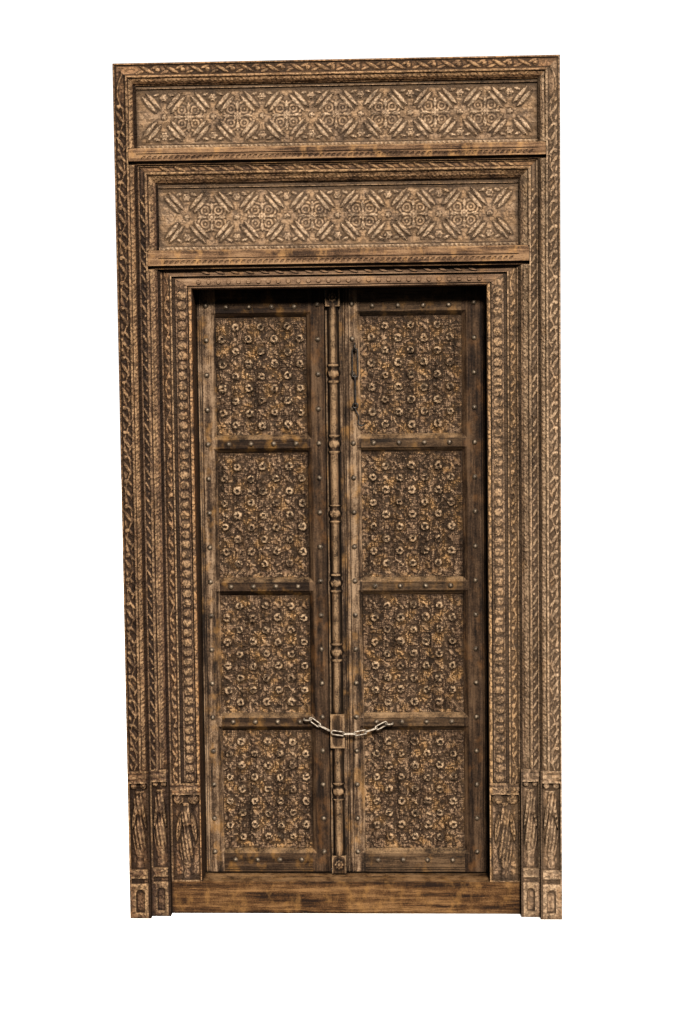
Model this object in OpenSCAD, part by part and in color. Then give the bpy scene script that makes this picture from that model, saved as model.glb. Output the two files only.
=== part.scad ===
// Carved double-leaf temple door in its stepped timber frame.
// The front faces -Y, +Z is up, and the origin is on the floor at the middle of the footprint.
// All sizes are in millimetres.

/* [Overall] */
// Width across the outer jambs
frame_w = 1190; // [1170:1:1260]
// Height from the floor to the top of the outer head
frame_h = 2330; // [2310:1:2420]
// Depth from the front of the outer frame to the back of the inner frame
frame_d = 190; // [188:1:220]

/* [Outer frame] */
// Width of the outer jambs and head
outer_w = 58; // [54:1:64]
// Width of the carved flat next to the outer edge
outer_flat = 37; // [32:1:40]
// How far the beaded bevel falls back
outer_drop = 18; // [10:1:20]
// Thickness of the outer timbers, front to back
outer_t = 110; // [90:1:130]

/* [Middle frame] */
// Step back from the outer front to the middle front
middle_step = 22; // [20:1:28]
// Width of the middle jambs and head
middle_w = 52; // [46:1:58]
// Width of the carved flat of the middle timbers
middle_flat = 23; // [18:1:28]
// How far the middle bevel falls back
middle_drop = 26; // [14:1:28]
// Thickness of the middle timbers, front to back
middle_t = 112; // [95:1:130]

/* [Inner frame] */
// Step back from the outer front to the inner front
inner_step = 52; // [50:1:60]
// Width of the inner jambs
inner_w = 85; // [80:1:92]
// Width of the scroll band of the inner jambs
scroll_w = 30; // [26:1:32]
// Width of the bead column of the inner jambs
column_w = 32; // [28:1:34]
// Height of the inner head
inner_head_h = 53; // [50:1:60]
// Height of the threshold
threshold_h = 90; // [70:1:110]

/* [Head tiers] */
// Height of the upper carved frieze
upper_frieze_h = 166; // [150:1:180]
// Height of the upper transom bar
upper_transom_h = 44; // [38:1:52]
// Height of the lower carved frieze
lower_frieze_h = 175; // [160:1:190]
// Height of the lower transom bar
lower_transom_h = 51; // [42:1:58]
// Step back from the outer front to the lower frieze
lower_frieze_step = 40; // [34:1:48]
// Thickness of the frieze boards
frieze_t = 50; // [40:1:60]
// Thickness of the transom bars, front to back
transom_t = 70; // [55:1:80]
// Height of the shadow cove under each transom
cove_h = 9; // [6:1:14]
// Depth of the shadow cove
cove_d = 14; // [10:1:18]
// Set-back of the transoms behind the timbers they lap
transom_back = 2; // [1:0.5:4]
// Pitch of the slanted nicks along the transoms
nick_pitch = 15; // [13:0.5:20]
// Depth of the nicks and of the line over them
nick_d = 2.5; // [1.5:0.5:3.5]
// Depth of the housings that take the transom ends
lap_d = 28; // [24:1:40]

/* [Jamb feet] */
// Height of the carved jamb feet
foot_h = 412; // [380:1:440]
// Height of the plain plinth under each carved foot
plinth_h = 135; // [110:1:150]
// Depth of the carved niche in each foot
niche_d = 12; // [9:1:14]

/* [Leaves] */
// Step back from the outer front to the face of the leaves
leaf_setback = 140; // [136:1:144]
// Thickness of the stiles and rails
leaf_t = 40; // [36:1:42]
// Depth of the rebate that takes the hinge edge of each leaf
jamb_lap = 10; // [9:0.5:11]
// Gap between each leaf and the bottom of its rebate
side_gap = 5; // [5:0.5:6]
// Distance of the meeting line from the middle of the door
meeting_offset = 44; // [20:1:60]
// Gap between the two leaves
meeting_gap = 2; // [1.5:0.5:5]
// Gap between the leaves and the threshold
bottom_gap = 4; // [2:0.5:8]
// How far the leaves reach up behind the inner head
head_lap = 17; // [10:1:18]
// Gap over the top edge of the leaves
top_gap = 4; // [2:0.5:6]
// Gap between the leaves and the back of the frame's lip
stop_gap = 3; // [2.5:0.5:4]
// Width of the left hinge stile
left_hinge_stile_w = 58; // [54:1:70]
// Width of the left meeting stile
left_meeting_stile_w = 51; // [44:1:60]
// Width of the right meeting stile, which carries the astragal
right_meeting_stile_w = 96; // [88:1:105]
// Width of the right hinge stile
right_hinge_stile_w = 72; // [54:1:80]
// Height of the three cross rails
rail_h = 50; // [46:1:56]
// Height of the bottom rail
bottom_rail_h = 66; // [60:1:76]
// Height of the top rail
top_rail_h = 94; // [84:1:110]
// How much taller the bottom panels are than the mean panel
bottom_panel_more = 1; // [-10:1:20]
// How much taller the lower middle panels are than the mean panel
lower_panel_more = -3; // [-10:1:20]
// How much taller the upper middle panels are than the mean panel
upper_panel_more = 13; // [-10:1:20]
// Splay round each panel, and its depth
splay = 13; // [9:1:14]
// Thickness of the panel boards
panel_t = 24; // [21:1:26]
// Thickness of the tongues on panels and rails
tongue_t = 10; // [7:0.5:11]
// Depth of the grooves in stiles and rails
groove_d = 9; // [6:0.5:12]

/* [Pivots] */
// Radius of the wooden pivots of the leaves
pivot_r = 13; // [10:0.5:13]
// Depth of the pivots in their sockets
pivot_len = 22; // [14:0.5:23]
// Distance of the pivot axis from the hinge edge
pivot_inset = 34; // [32:1:35]
// Chamfer of the hinge stiles at the back of their hinge edge
heel = 10; // [9:0.5:13]
// Chamfer of the hinge stiles at the front of their hinge edge
toe = 8; // [8:0.5:9]
// Radial clearance of the pivots
pivot_gap = 0.6; // [0.4:0.1:1]
// Clearance round the hinge edges as they turn in their pockets
swing_gap = 1.5; // [1:0.5:2.5]

/* [Carving] */
// Depth of the carved ground of the frame timbers
relief = 4; // [3:0.5:5]
// Radius of the panel rosettes
rosette_r = 14; // [11:0.5:14.5]
// Radius of the rosette holes
rosette_hole_r = 5; // [4:0.5:6]
// Height of the rosettes over the panel ground
rosette_h = 8; // [6:0.5:9]
// Sideways step between neighbouring rosettes
rosette_dx = 36; // [35:0.5:42]
// Upward step between neighbouring rosettes
rosette_dz = 34; // [32:0.5:38]
// Length of the slanted leaves between the rosettes
spray_len = 32; // [26:1:34]
// Width of the slanted leaves
spray_w = 10; // [8:0.5:11]
// Height of the slanted leaves over the panel ground
spray_h = 3; // [2:0.5:4]
// Length of the slanted strands of the cords on the bevels
strand_len = 13; // [11:0.5:14]
// Width of the strands
strand_w = 6; // [5:0.5:7]
// Height of the strands over the bevels
strand_h = 2.5; // [1.5:0.5:3]
// Pitch of the strands along the cords
strand_pitch = 11; // [10:0.5:14]
// Pitch of the leaf scroll on the outer flats
scroll_pitch = 67; // [60:1:80]
// Least pitch of the crossed lobes on the friezes
frieze_pitch = 120; // [112:1:135]

/* [Nails] */
// Radius of the domed nail heads
nail_r = 7.5; // [6:0.5:8]
// Height of the nail heads
nail_h = 6; // [4:0.5:7]
// Pitch of the nails along the stiles
nail_pitch = 96; // [85:1:120]
// Nails on each rail
rail_nails = 4; // [3:1:5]

/* [Astragal] */
// Width of the astragal's square blocks
astragal_w = 40; // [38:1:42]
// Distance of the astragal from the edge of the right leaf
astragal_inset = 2; // [2:0.5:4]
// Radius of the turned shaft
shaft_r = 17; // [14:0.5:18]
// Radius of the knops
knop_r = 19.5; // [18.5:0.5:20]
// Pitch of the knops up the shaft
knop_pitch = 194; // [180:1:210]
// Height of the end blocks
end_block_h = 50; // [40:1:60]
// Height of the block behind the chain
chain_block_h = 96; // [90:1:110]
// Distance of the first knop under the top block
upper_knop_drop = 185; // [120:1:190]
// Distance of the first knop under the chain block
lower_knop_drop = 126; // [100:1:150]

/* [Ironwork] */
// Wire radius of the staples
staple_r = 2.5; // [2:0.1:2.6]
// Reach of the staples out of the face of the leaves
staple_out = 24; // [23:0.5:27]
// Distance of the hanging links from the face of the leaves
hang_out = 11; // [10.5:0.5:12]
// Distance between the legs of the staples
staple_span = 20; // [19:1:24]
// Wire radius of the chain links
link_r = 2.1; // [1.8:0.1:2.2]
// Width of the chain links between wire centres
link_w = 11; // [10.6:0.1:13]
// Pitch of the chain links
link_pitch = 31.6; // [31:0.1:32]
// Running clearance between links
link_gap = 0.6; // [0.4:0.1:0.8]
// Wire radius of the hasp links
hasp_r = 2.5; // [2:0.1:2.7]
// Width of the hasp links between wire centres
hasp_w = 15; // [14:0.5:16]
// Length of the straight bar at the foot of each hasp link
hasp_bar = 5; // [4:0.5:6]
// Pitch of the long hasp link
long_link = 72; // [60:1:80]
// Pitch of the second hasp link
second_link = 78; // [60:1:84]
// Distance of the hasp from the edge of the right panels
hasp_inset = 14; // [12:0.5:16]
// Distance of the left chain staple under the top of the lower rail
chain_below = 16; // [14:0.5:18]
// How much lower the right chain staple is than the left one
chain_step = 12; // [10:0.5:14]
// Distance of the hasp staple under the top of the doorway
hasp_drop = 162; // [120:1:300]

/* [Hidden] */
$fn = 48;
eps = 1;
fit = 0.2;
embed = 1;
margin = 4;
half_w = frame_w / 2;
y_front = -frame_d / 2;
y_back = frame_d / 2;
y_middle = y_front + middle_step;
y_inner = y_front + inner_step;
y_leaf = y_front + leaf_setback;
y_leaf_back = y_leaf + leaf_t;
y_lip = y_leaf - stop_gap;
x_middle = half_w - outer_w;
x_inner = x_middle - middle_w;
x_door = x_inner - inner_w;

// Levels of the tiers, from the top down
z_outer_head = frame_h - outer_w;
z_upper_frieze = z_outer_head - upper_frieze_h;
z_upper_transom = z_upper_frieze - upper_transom_h;
z_middle_head = z_upper_transom - middle_w;
z_lower_frieze = z_middle_head - lower_frieze_h;
z_lower_transom = z_lower_frieze - lower_transom_h;
z_door_top = z_lower_transom - inner_head_h;

// Levels and edges of the leaves
z_leaf = threshold_h + bottom_gap;
z_leaf_top = z_door_top + head_lap;
z_recess = z_leaf_top + top_gap;
left_x0 = -x_door - jamb_lap + side_gap;
left_x1 = -meeting_offset - meeting_gap / 2;
right_x0 = -meeting_offset + meeting_gap / 2;
right_x1 = x_door + jamb_lap - side_gap;
left_panel_x = [left_x0 + left_hinge_stile_w, left_x1 - left_meeting_stile_w];
right_panel_x = [right_x0 + right_meeting_stile_w, right_x1 - right_hinge_stile_w];
panel_mean = (z_leaf_top - z_leaf - bottom_rail_h - 3 * rail_h - top_rail_h) / 4;
z_panel_1 = z_leaf + bottom_rail_h;
z_rail_1 = z_panel_1 + panel_mean + bottom_panel_more;
z_panel_2 = z_rail_1 + rail_h;
z_rail_2 = z_panel_2 + panel_mean + lower_panel_more;
z_panel_3 = z_rail_2 + rail_h;
z_rail_3 = z_panel_3 + panel_mean + upper_panel_more;
z_panel_4 = z_rail_3 + rail_h;
z_top_rail = z_leaf_top - top_rail_h;
panel_rows = [
    [z_panel_1, z_rail_1],
    [z_panel_2, z_rail_2],
    [z_panel_3, z_rail_3],
    [z_panel_4, z_top_rail]
];
y_ground = y_leaf + splay;
tongue_inset = (panel_t - tongue_t) / 2;
pivot_x = left_x0 + pivot_inset;
pivot_y = y_leaf + leaf_t / 2;
swing_r = sqrt(pow(pivot_inset, 2) + pow(leaf_t / 2 - toe, 2));
nail_strip_inset = 32;
right_nail_inset = 38;
meeting_nail_inset = 19;
nail_edge = 1;
edge_groove = 2;
hinge_lines = [12, 18];
strip_lines = [5, 11, 21];
rail_lines = [5, 12];

// Iron: where the staples sit and how the chain runs
chain_inset = 1;
y_hang = y_leaf - hang_out;
chain_z = z_panel_2 - chain_below;
chain_right_z = chain_z - chain_step;
nail_step_right = (right_panel_x[1] - right_panel_x[0]) / rail_nails;
chain_left_x = left_panel_x[1] + chain_inset;
chain_right_x = right_panel_x[0] + nail_step_right - staple_span / 2;
hasp_x = right_panel_x[0] - hasp_inset;
hasp_z = z_door_top - hasp_drop;
left_links = 2;
right_links = round((chain_right_x - right_x0) / link_pitch);

dark_wood = [0.36, 0.25, 0.16];
mid_wood = [0.44, 0.31, 0.20];
grey_wood = [0.46, 0.37, 0.28];
warm_wood = [0.52, 0.34, 0.19];
iron = [0.40, 0.36, 0.31];

// A box given by its two corners
module block(low, high) {
    translate(low) cube(high - low);
}

// A profile in the Y and Z directions, run along X between two ends
module run_x(x0, x1) {
    translate([x0, 0, 0]) rotate([90, 0, 90]) linear_extrude(x1 - x0) children();
}

// A profile in the X and Z directions, run along Y between two ends
module run_y(y0, y1) {
    translate([0, y1, 0]) rotate([90, 0, 0]) linear_extrude(y1 - y0) children();
}

// A pointed leaf lying along X, cut from two crossing arcs
module leaf_2d(len, wid) {
    arc_r = (len * len + wid * wid) / (4 * wid);
    intersection() {
        translate([0, arc_r - wid / 2]) circle(arc_r);
        translate([0, wid / 2 - arc_r]) circle(arc_r);
    }
}

// A carved leaf on a front face, standing from its ground up to level y
module leaf(x, y, z, angle, len, wid, high) {
    translate([x, y + high + embed, z]) rotate([90, angle, 0])
        linear_extrude(high + embed) leaf_2d(len, wid);
}

// A round carved boss on a front face, with its top at level y
module boss(x, y, z, r, high) {
    translate([x, y + high + embed, z]) rotate([90, 0, 0])
        cylinder(h = high + embed, r1 = r, r2 = r * 0.7);
}

// A carved cord of slanted strands on a bevel that falls drop over a width wide, running along Z
module cord(z0, z1, x, y, wide, drop) {
    tilt = atan2(drop, wide);
    twist = 55;
    count = floor((z1 - z0) / strand_pitch);
    start = (z0 + z1 - (count - 1) * strand_pitch) / 2;
    for (i = [0 : count - 1])
        translate([x + wide / 2, y + drop / 2, start + i * strand_pitch]) rotate([90, 0, tilt])
            translate([0, 0, -embed]) linear_extrude(embed + strand_h) rotate(twist) leaf_2d(strand_len, strand_w);
}

// Section of a timber with a sunk carved flat and a falling bevel with a line on each side of its cord
line_d = 1.5;
line_shares = [0.10, 0.18, 0.82, 0.90];
function on_bevel(wide, flat, drop, share, dip) = [flat + (wide - flat) * share, drop * share + dip];
function bevel_section(wide, flat, drop, thick) = concat(
    [[0, thick], [0, 0], [margin, 0], [margin, relief], [flat - margin, relief], [flat - margin, 0], [flat, 0]],
    [for (i = [0, 2], dip = [[0, 0], [0, 1], [1, 1], [1, 0]])
        on_bevel(wide, flat, drop, line_shares[i + dip[0]], line_d * dip[1])],
    [[wide, drop], [wide, thick]]
);

// The same timber stood up as the left jamb, or laid as a head, with its edge and front given
module jamb_run(section, x_edge, y_face, z0, z1) {
    translate([0, 0, z0]) linear_extrude(z1 - z0)
        polygon([for (p = section) [x_edge + p[0], y_face + p[1]]]);
}
module head_run(section, z_edge, y_face, x_half) {
    run_x(-x_half, x_half) polygon([for (p = section) [y_face + p[1], z_edge - p[0]]]);
}

// Profile of the vase and bud that fill a carved foot, by height over the plinth
module vase_2d(r, tall) {
    polygon([
        [0, 0], [r * 0.82, 0], [r * 0.72, tall * 0.05], [r * 0.62, tall * 0.12], [r * 0.78, tall * 0.22],
        [r * 0.97, tall * 0.32], [r, tall * 0.40], [r * 0.9, tall * 0.50], [r * 0.7, tall * 0.57],
        [r * 0.68, tall * 0.61], [r * 0.9, tall * 0.66], [r * 0.95, tall * 0.72], [r * 0.85, tall * 0.80],
        [r * 0.66, tall * 0.86], [r * 0.8, tall * 0.9], [0, tall * 0.9]
    ]);
}

// A carved jamb foot: plinth with a hollow, niche with vase and drooping leaves, and a capital with two volutes
cap_h = 34;
axis_back = 14;
band_low = 40;
band_high = 24;
hollow_low = 14;
module carved_foot(x0, x1, y_face, y_rear, z0) {
    mid = (x0 + x1) / 2;
    niche_half = (x1 - x0) / 2 - margin;
    hollow_r = niche_half / 2;
    z_hollow = z0 + plinth_h - band_low - hollow_low - hollow_r;
    z_cap = z0 + foot_h - cap_h;
    z_niche = z0 + plinth_h;
    tall = z_cap - z_niche;
    axis_in = niche_d + axis_back;
    vase_r = min(axis_in, norm([niche_half, axis_back]));
    side_x = niche_half * 0.55;
    volute_r = niche_half * 0.42;
    leaf_back = 2;
    difference() {
        block([x0, y_face, z0], [x1, y_rear, z0 + foot_h]);
        block([mid - niche_half, y_face - eps, z_niche], [mid + niche_half, y_face + niche_d, z_cap]);
        block([mid - niche_half, y_face - eps, z_niche - band_low],
              [mid + niche_half, y_face + relief, z_niche - band_high]);
        block([mid - hollow_r, y_face - eps, z0 + hollow_low], [mid + hollow_r, y_face + relief, z_hollow]);
        translate([mid, y_face + relief, z_hollow]) rotate([90, 0, 0]) cylinder(h = relief + eps, r = hollow_r);
    }
    intersection() {
        translate([mid, y_face + axis_in, z_niche - embed]) rotate_extrude() vase_2d(vase_r, tall);
        block([mid - niche_half - embed, y_face, z_niche - embed],
              [mid + niche_half + embed, y_face + axis_in, z_cap]);
    }
    for (side = [-1, 1]) {
        leaf(mid + side * side_x, y_face + leaf_back, z_niche + tall * 0.62, 90 - side * 8, tall * 0.34, volute_r,
             niche_d - leaf_back);
        boss(mid + side * side_x, y_face, z_cap - niche_half * 0.3, volute_r, niche_d);
    }
}

// Housing cut in a left jamb for the lapped end of a transom
module housing(x_edge, wide, y_face, z0, z1) {
    block([x_edge - wide - fit, y_face - eps, z0 - fit], [x_edge + eps, y_face + lap_d + fit, z1 + fit]);
}

module outer_jamb() {
    section = bevel_section(outer_w, outer_flat, outer_drop, outer_t);
    scroll_x = -half_w + outer_flat / 2;
    scrolls = floor((z_outer_head - foot_h) / scroll_pitch);
    color(mid_wood) difference() {
        union() {
            intersection() {
                jamb_run(section, -half_w, y_front, foot_h, frame_h);
                run_y(y_front - eps, y_back) polygon([
                    [-half_w, 0], [-x_middle, 0], [-x_middle, z_outer_head], [-half_w, frame_h]
                ]);
            }
            carved_foot(-half_w, -x_middle, y_front, y_front + outer_t, 0);
            for (i = [0 : scrolls - 1]) {
                z = foot_h + (i + 0.5) * scroll_pitch;
                leaf(scroll_x - 2, y_front, z, 58, scroll_pitch * 0.62, 9, relief);
                leaf(scroll_x + 5, y_front, z + scroll_pitch * 0.36, 52, scroll_pitch * 0.4, 7, relief);
                boss(scroll_x - 6, y_front, z + scroll_pitch * 0.42, 6, relief);
            }
            cord(foot_h + strand_pitch, z_outer_head - strand_pitch, -half_w + outer_flat, y_front,
                 outer_w - outer_flat, outer_drop);
        }
        housing(-x_middle, outer_w - outer_flat, y_front, z_upper_transom, z_upper_frieze);
    }
}
module outer_jamb_left() outer_jamb();
module outer_jamb_right() mirror([1, 0, 0]) outer_jamb();

module outer_head() {
    section = bevel_section(outer_w, outer_flat, outer_drop, outer_t);
    scrolls = floor(2 * x_middle / scroll_pitch);
    color(warm_wood) {
        intersection() {
            head_run(section, frame_h, y_front, half_w);
            run_y(y_front - eps, y_back) polygon([
                [-half_w, frame_h], [half_w, frame_h], [x_middle, z_outer_head], [-x_middle, z_outer_head]
            ]);
        }
        for (i = [0 : scrolls - 1]) {
            x = (i - (scrolls - 1) / 2) * scroll_pitch;
            leaf(x, y_front, frame_h - outer_flat / 2, 28, scroll_pitch * 0.62, 9, relief);
            boss(x + scroll_pitch * 0.42, y_front, frame_h - outer_flat / 2, 6, relief);
        }
        translate([0, 0, frame_h]) rotate([0, 90, 0])
            cord(-x_middle + strand_pitch, x_middle - strand_pitch, outer_flat, y_front,
                 outer_w - outer_flat, outer_drop);
    }
}

// A frieze board: crossed pairs of lobes, a flower with four leaves in each diamond and buds in the corners
module frieze(x_half, y_face, z0, z1) {
    fillet = 2 * margin;
    ground = relief + 1;
    zc = (z0 + z1) / 2;
    cells = floor(2 * (x_half - fillet) / frieze_pitch);
    pitch = 2 * (x_half - fillet) / cells;
    reach = (z1 - z0) / 2 - fillet;
    lean = atan2(reach, pitch / 2);
    lobe_len = norm([reach, pitch / 2]) * 0.6;
    lobe_w = 12;
    lobe_off = 7.5;
    bud_z = reach * 0.68;
    petal_x = 27;
    difference() {
        block([-x_half + fit, y_face, z0 + fit], [x_half - fit, y_face + frieze_t, z1 - fit]);
        block([-x_half - eps, y_face - eps, z0 + fillet], [x_half + eps, y_face + ground, z1 - fillet]);
    }
    for (i = [0 : cells - 1]) {
        x = (i - (cells - 1) / 2) * pitch;
        for (side = [-1, 1], rise = [-1, 1], row = [-1, 1])
            leaf(x + side * (pitch / 4 + row * lobe_off * sin(lean)), y_face,
                 zc + rise * (reach / 2 - row * lobe_off * cos(lean)), -side * rise * lean,
                 lobe_len, lobe_w, ground);
        boss(x, y_face, zc, 8, ground);
        for (rise = [-1, 1]) {
            boss(x, y_face, zc + rise * bud_z, 11, ground);
            for (side = [-1, 1])
                leaf(x + side * 20, y_face, zc + rise * (bud_z + 8), side * rise * 20, 18, 7, ground);
        }
        if (i < cells - 1) {
            boss(x + pitch / 2, y_face, zc, 13, ground);
            for (side = [-1, 1]) {
                leaf(x + pitch / 2 + side * petal_x, y_face, zc, 0, 24, 10, ground);
                leaf(x + pitch / 2, y_face, zc + side * petal_x, 90, 24, 10, ground);
            }
        }
    }
}

module upper_frieze() {
    color(grey_wood) frieze(x_middle, y_middle, z_upper_frieze, z_outer_head);
}
module lower_frieze() {
    color(grey_wood) frieze(x_inner, y_front + lower_frieze_step, z_lower_frieze, z_middle_head);
}

// A transom bar over a shadow cove, nicked along its lower half, with lapped ends let into the jambs
module transom(x_half, x_lap, y_face, z0, z1) {
    face = y_face + transom_back;
    front = [
        [face + margin, z1 - fit], [face, z1 - margin], [face, z0 + cove_h], [face + cove_d, z0 + cove_h],
        [face + cove_d, z0 + fit]
    ];
    z_nick = z0 + cove_h + nick_pitch * 0.6;
    z_line = z0 + cove_h + nick_pitch * 1.2;
    nicks = floor(2 * x_half / nick_pitch) - 1;
    difference() {
        union() {
            run_x(-x_half + fit, x_half - fit)
                polygon(concat(front, [[face + transom_t, z0 + fit], [face + transom_t, z1 - fit]]));
            run_x(-x_lap, x_lap)
                polygon(concat(front, [[y_face + lap_d, z0 + fit], [y_face + lap_d, z1 - fit]]));
        }
        block([-x_half, face - eps, z_line], [x_half, face + nick_d, z_line + edge_groove]);
        for (i = [0 : nicks - 1])
            translate([(i - (nicks - 1) / 2) * nick_pitch, face + nick_d, z_nick]) rotate([90, 0, 0])
                linear_extrude(nick_d + eps) rotate(35) leaf_2d(nick_pitch, nick_pitch * 0.4);
    }
}

module upper_transom() {
    color(warm_wood) transom(x_middle, half_w - outer_flat, y_front, z_upper_transom, z_upper_frieze);
}
module lower_transom() {
    color(warm_wood) transom(x_inner, x_middle - middle_flat, y_middle, z_lower_transom, z_lower_frieze);
}

module middle_jamb() {
    section = bevel_section(middle_w, middle_flat, middle_drop, middle_t);
    chain_x = -x_middle + middle_flat / 2;
    step = scroll_pitch * 0.6;
    leaves = floor((z_middle_head - foot_h) / step);
    color(mid_wood) difference() {
        union() {
            intersection() {
                jamb_run(section, -x_middle, y_middle, foot_h, z_upper_transom);
                run_y(y_front, y_back) polygon([
                    [-x_middle, 0], [-x_inner, 0], [-x_inner, z_middle_head], [-x_middle, z_upper_transom]
                ]);
            }
            carved_foot(-x_middle, -x_inner, y_middle, y_middle + middle_t, 0);
            for (i = [0 : leaves - 1])
                leaf(chain_x, y_middle, foot_h + (i + 0.5) * step, 62, step * 0.85, 7, relief);
            cord(foot_h + strand_pitch, z_middle_head - strand_pitch, -x_middle + middle_flat, y_middle,
                 middle_w - middle_flat, middle_drop);
        }
        housing(-x_inner, middle_w - middle_flat, y_middle, z_lower_transom, z_lower_frieze);
    }
}
module middle_jamb_left() middle_jamb();
module middle_jamb_right() mirror([1, 0, 0]) middle_jamb();

module middle_head() {
    section = bevel_section(middle_w, middle_flat, middle_drop, middle_t);
    step = scroll_pitch * 0.6;
    leaves = floor(2 * x_inner / step);
    color(mid_wood) {
        intersection() {
            head_run(section, z_upper_transom, y_middle, x_middle);
            run_y(y_front, y_back) polygon([
                [-x_middle, z_upper_transom], [x_middle, z_upper_transom],
                [x_inner, z_middle_head], [-x_inner, z_middle_head]
            ]);
        }
        for (i = [0 : leaves - 1])
            leaf((i - (leaves - 1) / 2) * step, y_middle, z_upper_transom - middle_flat / 2, 24, step * 0.85, 7,
                 relief);
        translate([0, 0, z_upper_transom]) rotate([0, 90, 0])
            cord(-x_inner + strand_pitch, x_inner - strand_pitch, middle_flat, y_middle,
                 middle_w - middle_flat, middle_drop);
    }
}

// Front of the inner frame from its outer edge: scroll band, groove, bead column, groove and plain arris
arris_w = 9;
groove_2_w = 4;
column_start = inner_w - arris_w - groove_2_w - column_w;
function inner_front(k) = [
    [0, 0], [margin * k, 0], [margin * k, relief], [(scroll_w - margin) * k, relief], [(scroll_w - margin) * k, 0],
    [scroll_w * k, 0], [scroll_w * k, 2 * relief], [column_start * k, 2 * relief], [column_start * k, relief],
    [(column_start + column_w) * k, relief], [(column_start + column_w) * k, 2 * relief],
    [(inner_w - arris_w) * k, 2 * relief], [(inner_w - arris_w) * k, 0], [(inner_w - margin) * k, 0],
    [inner_w * k, relief]
];

module inner_jamb() {
    thick = y_back - y_inner;
    section = concat([[0, thick]], inner_front(1), [[inner_w, thick]]);
    step = scroll_pitch * 0.8;
    z_low = threshold_h + foot_h - plinth_h;
    scrolls = floor((z_door_top - z_low) / step);
    beads = floor((z_door_top - z_low) / (column_w * 0.85));
    color(grey_wood) difference() {
        union() {
            intersection() {
                jamb_run(section, -x_inner, y_inner, z_low, z_lower_transom);
                run_y(y_front, y_back + eps) polygon([
                    [-x_inner, 0], [-x_door, 0], [-x_door, z_door_top], [-x_inner, z_lower_transom]
                ]);
            }
            intersection() {
                carved_foot(-x_inner, -x_door, y_inner, y_back, z_low - foot_h);
                block([-x_inner, y_inner, threshold_h], [-x_door, y_back, z_low]);
            }
            for (i = [0 : scrolls - 1]) {
                z = z_low + (i + 0.5) * step;
                leaf(-x_inner + scroll_w / 2, y_inner, z, 60, step * 0.6, 8, relief);
                boss(-x_inner + scroll_w / 2 + 3, y_inner, z + step / 2, 6, relief);
            }
            for (i = [0 : beads - 1])
                boss(-x_inner + column_start + column_w / 2, y_inner, z_low + (i + 0.5) * column_w * 0.85,
                     column_w * 0.36, relief);
        }
        block([-x_door - jamb_lap, y_lip, threshold_h - eps], [-x_door + eps, y_back + eps, z_lower_transom]);
    }
}
module inner_jamb_left() inner_jamb();
module inner_jamb_right() mirror([1, 0, 0]) inner_jamb();

module inner_head() {
    k = inner_head_h / inner_w;
    thick = y_back - y_inner;
    section = concat([[0, thick]], inner_front(k), [[inner_head_h, thick]]);
    bead_step = column_w * 0.85;
    beads = floor(2 * x_door / bead_step);
    leaf_step = scroll_pitch * 0.6;
    leaves = floor(2 * x_door / leaf_step);
    color(grey_wood) difference() {
        union() {
            intersection() {
                head_run(section, z_lower_transom, y_inner, x_inner);
                run_y(y_front, y_back + eps) polygon([
                    [-x_inner, z_lower_transom], [x_inner, z_lower_transom],
                    [x_door, z_door_top], [-x_door, z_door_top]
                ]);
            }
            for (i = [0 : leaves - 1])
                leaf((i - (leaves - 1) / 2) * leaf_step, y_inner, z_lower_transom - scroll_w / 2 * k, 15,
                     leaf_step * 0.64, scroll_w * 0.18, relief);
            for (i = [0 : beads - 1])
                boss((i - (beads - 1) / 2) * bead_step, y_inner,
                     z_lower_transom - (column_start + column_w / 2) * k, column_w * 0.36 * k, relief);
        }
        block([-x_door - jamb_lap, y_lip, z_door_top - eps], [x_door + jamb_lap, y_back + eps, z_recess]);
        for (side = [-1, 1]) {
            translate([side * pivot_x, pivot_y, z_recess - eps])
                cylinder(h = pivot_len + eps + 2, r = pivot_r + pivot_gap);
            translate([side * pivot_x, pivot_y, z_door_top - eps])
                cylinder(h = z_recess - z_door_top + eps, r = swing_r + swing_gap);
        }
    }
}

module threshold() {
    seat = 0.3;
    color(warm_wood) difference() {
        block([-x_inner + fit, y_inner, 0], [x_inner - fit, y_back, threshold_h]);
        for (side = [-1, 1])
            translate([side * pivot_x, pivot_y, threshold_h - pivot_len - seat])
                cylinder(h = pivot_len + seat + eps, r = pivot_r + pivot_gap);
    }
}

// Splayed sinking round one panel opening, mitred at its corners
module splayed_opening(x, z) {
    out = splay + eps;
    intersection() {
        translate([0, 0, z[0] - 2 * out]) linear_extrude(z[1] - z[0] + 4 * out) polygon([
            [x[0] - out, y_leaf - eps], [x[1] + out, y_leaf - eps], [x[1], y_ground], [x[0], y_ground]
        ]);
        run_x(x[0] - 2 * out, x[1] + 2 * out) polygon([
            [y_leaf - eps, z[0] - out], [y_leaf - eps, z[1] + out], [y_ground, z[1]], [y_ground, z[0]]
        ]);
    }
}

// The groove that holds the panel tongues and the rail ends, along one edge of a stile
module stile_groove(x0, x1) {
    block([x0, y_ground + tongue_inset - fit, z_leaf - eps],
          [x1, y_ground + tongue_inset + tongue_t + fit, z_leaf_top + eps]);
}

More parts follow.
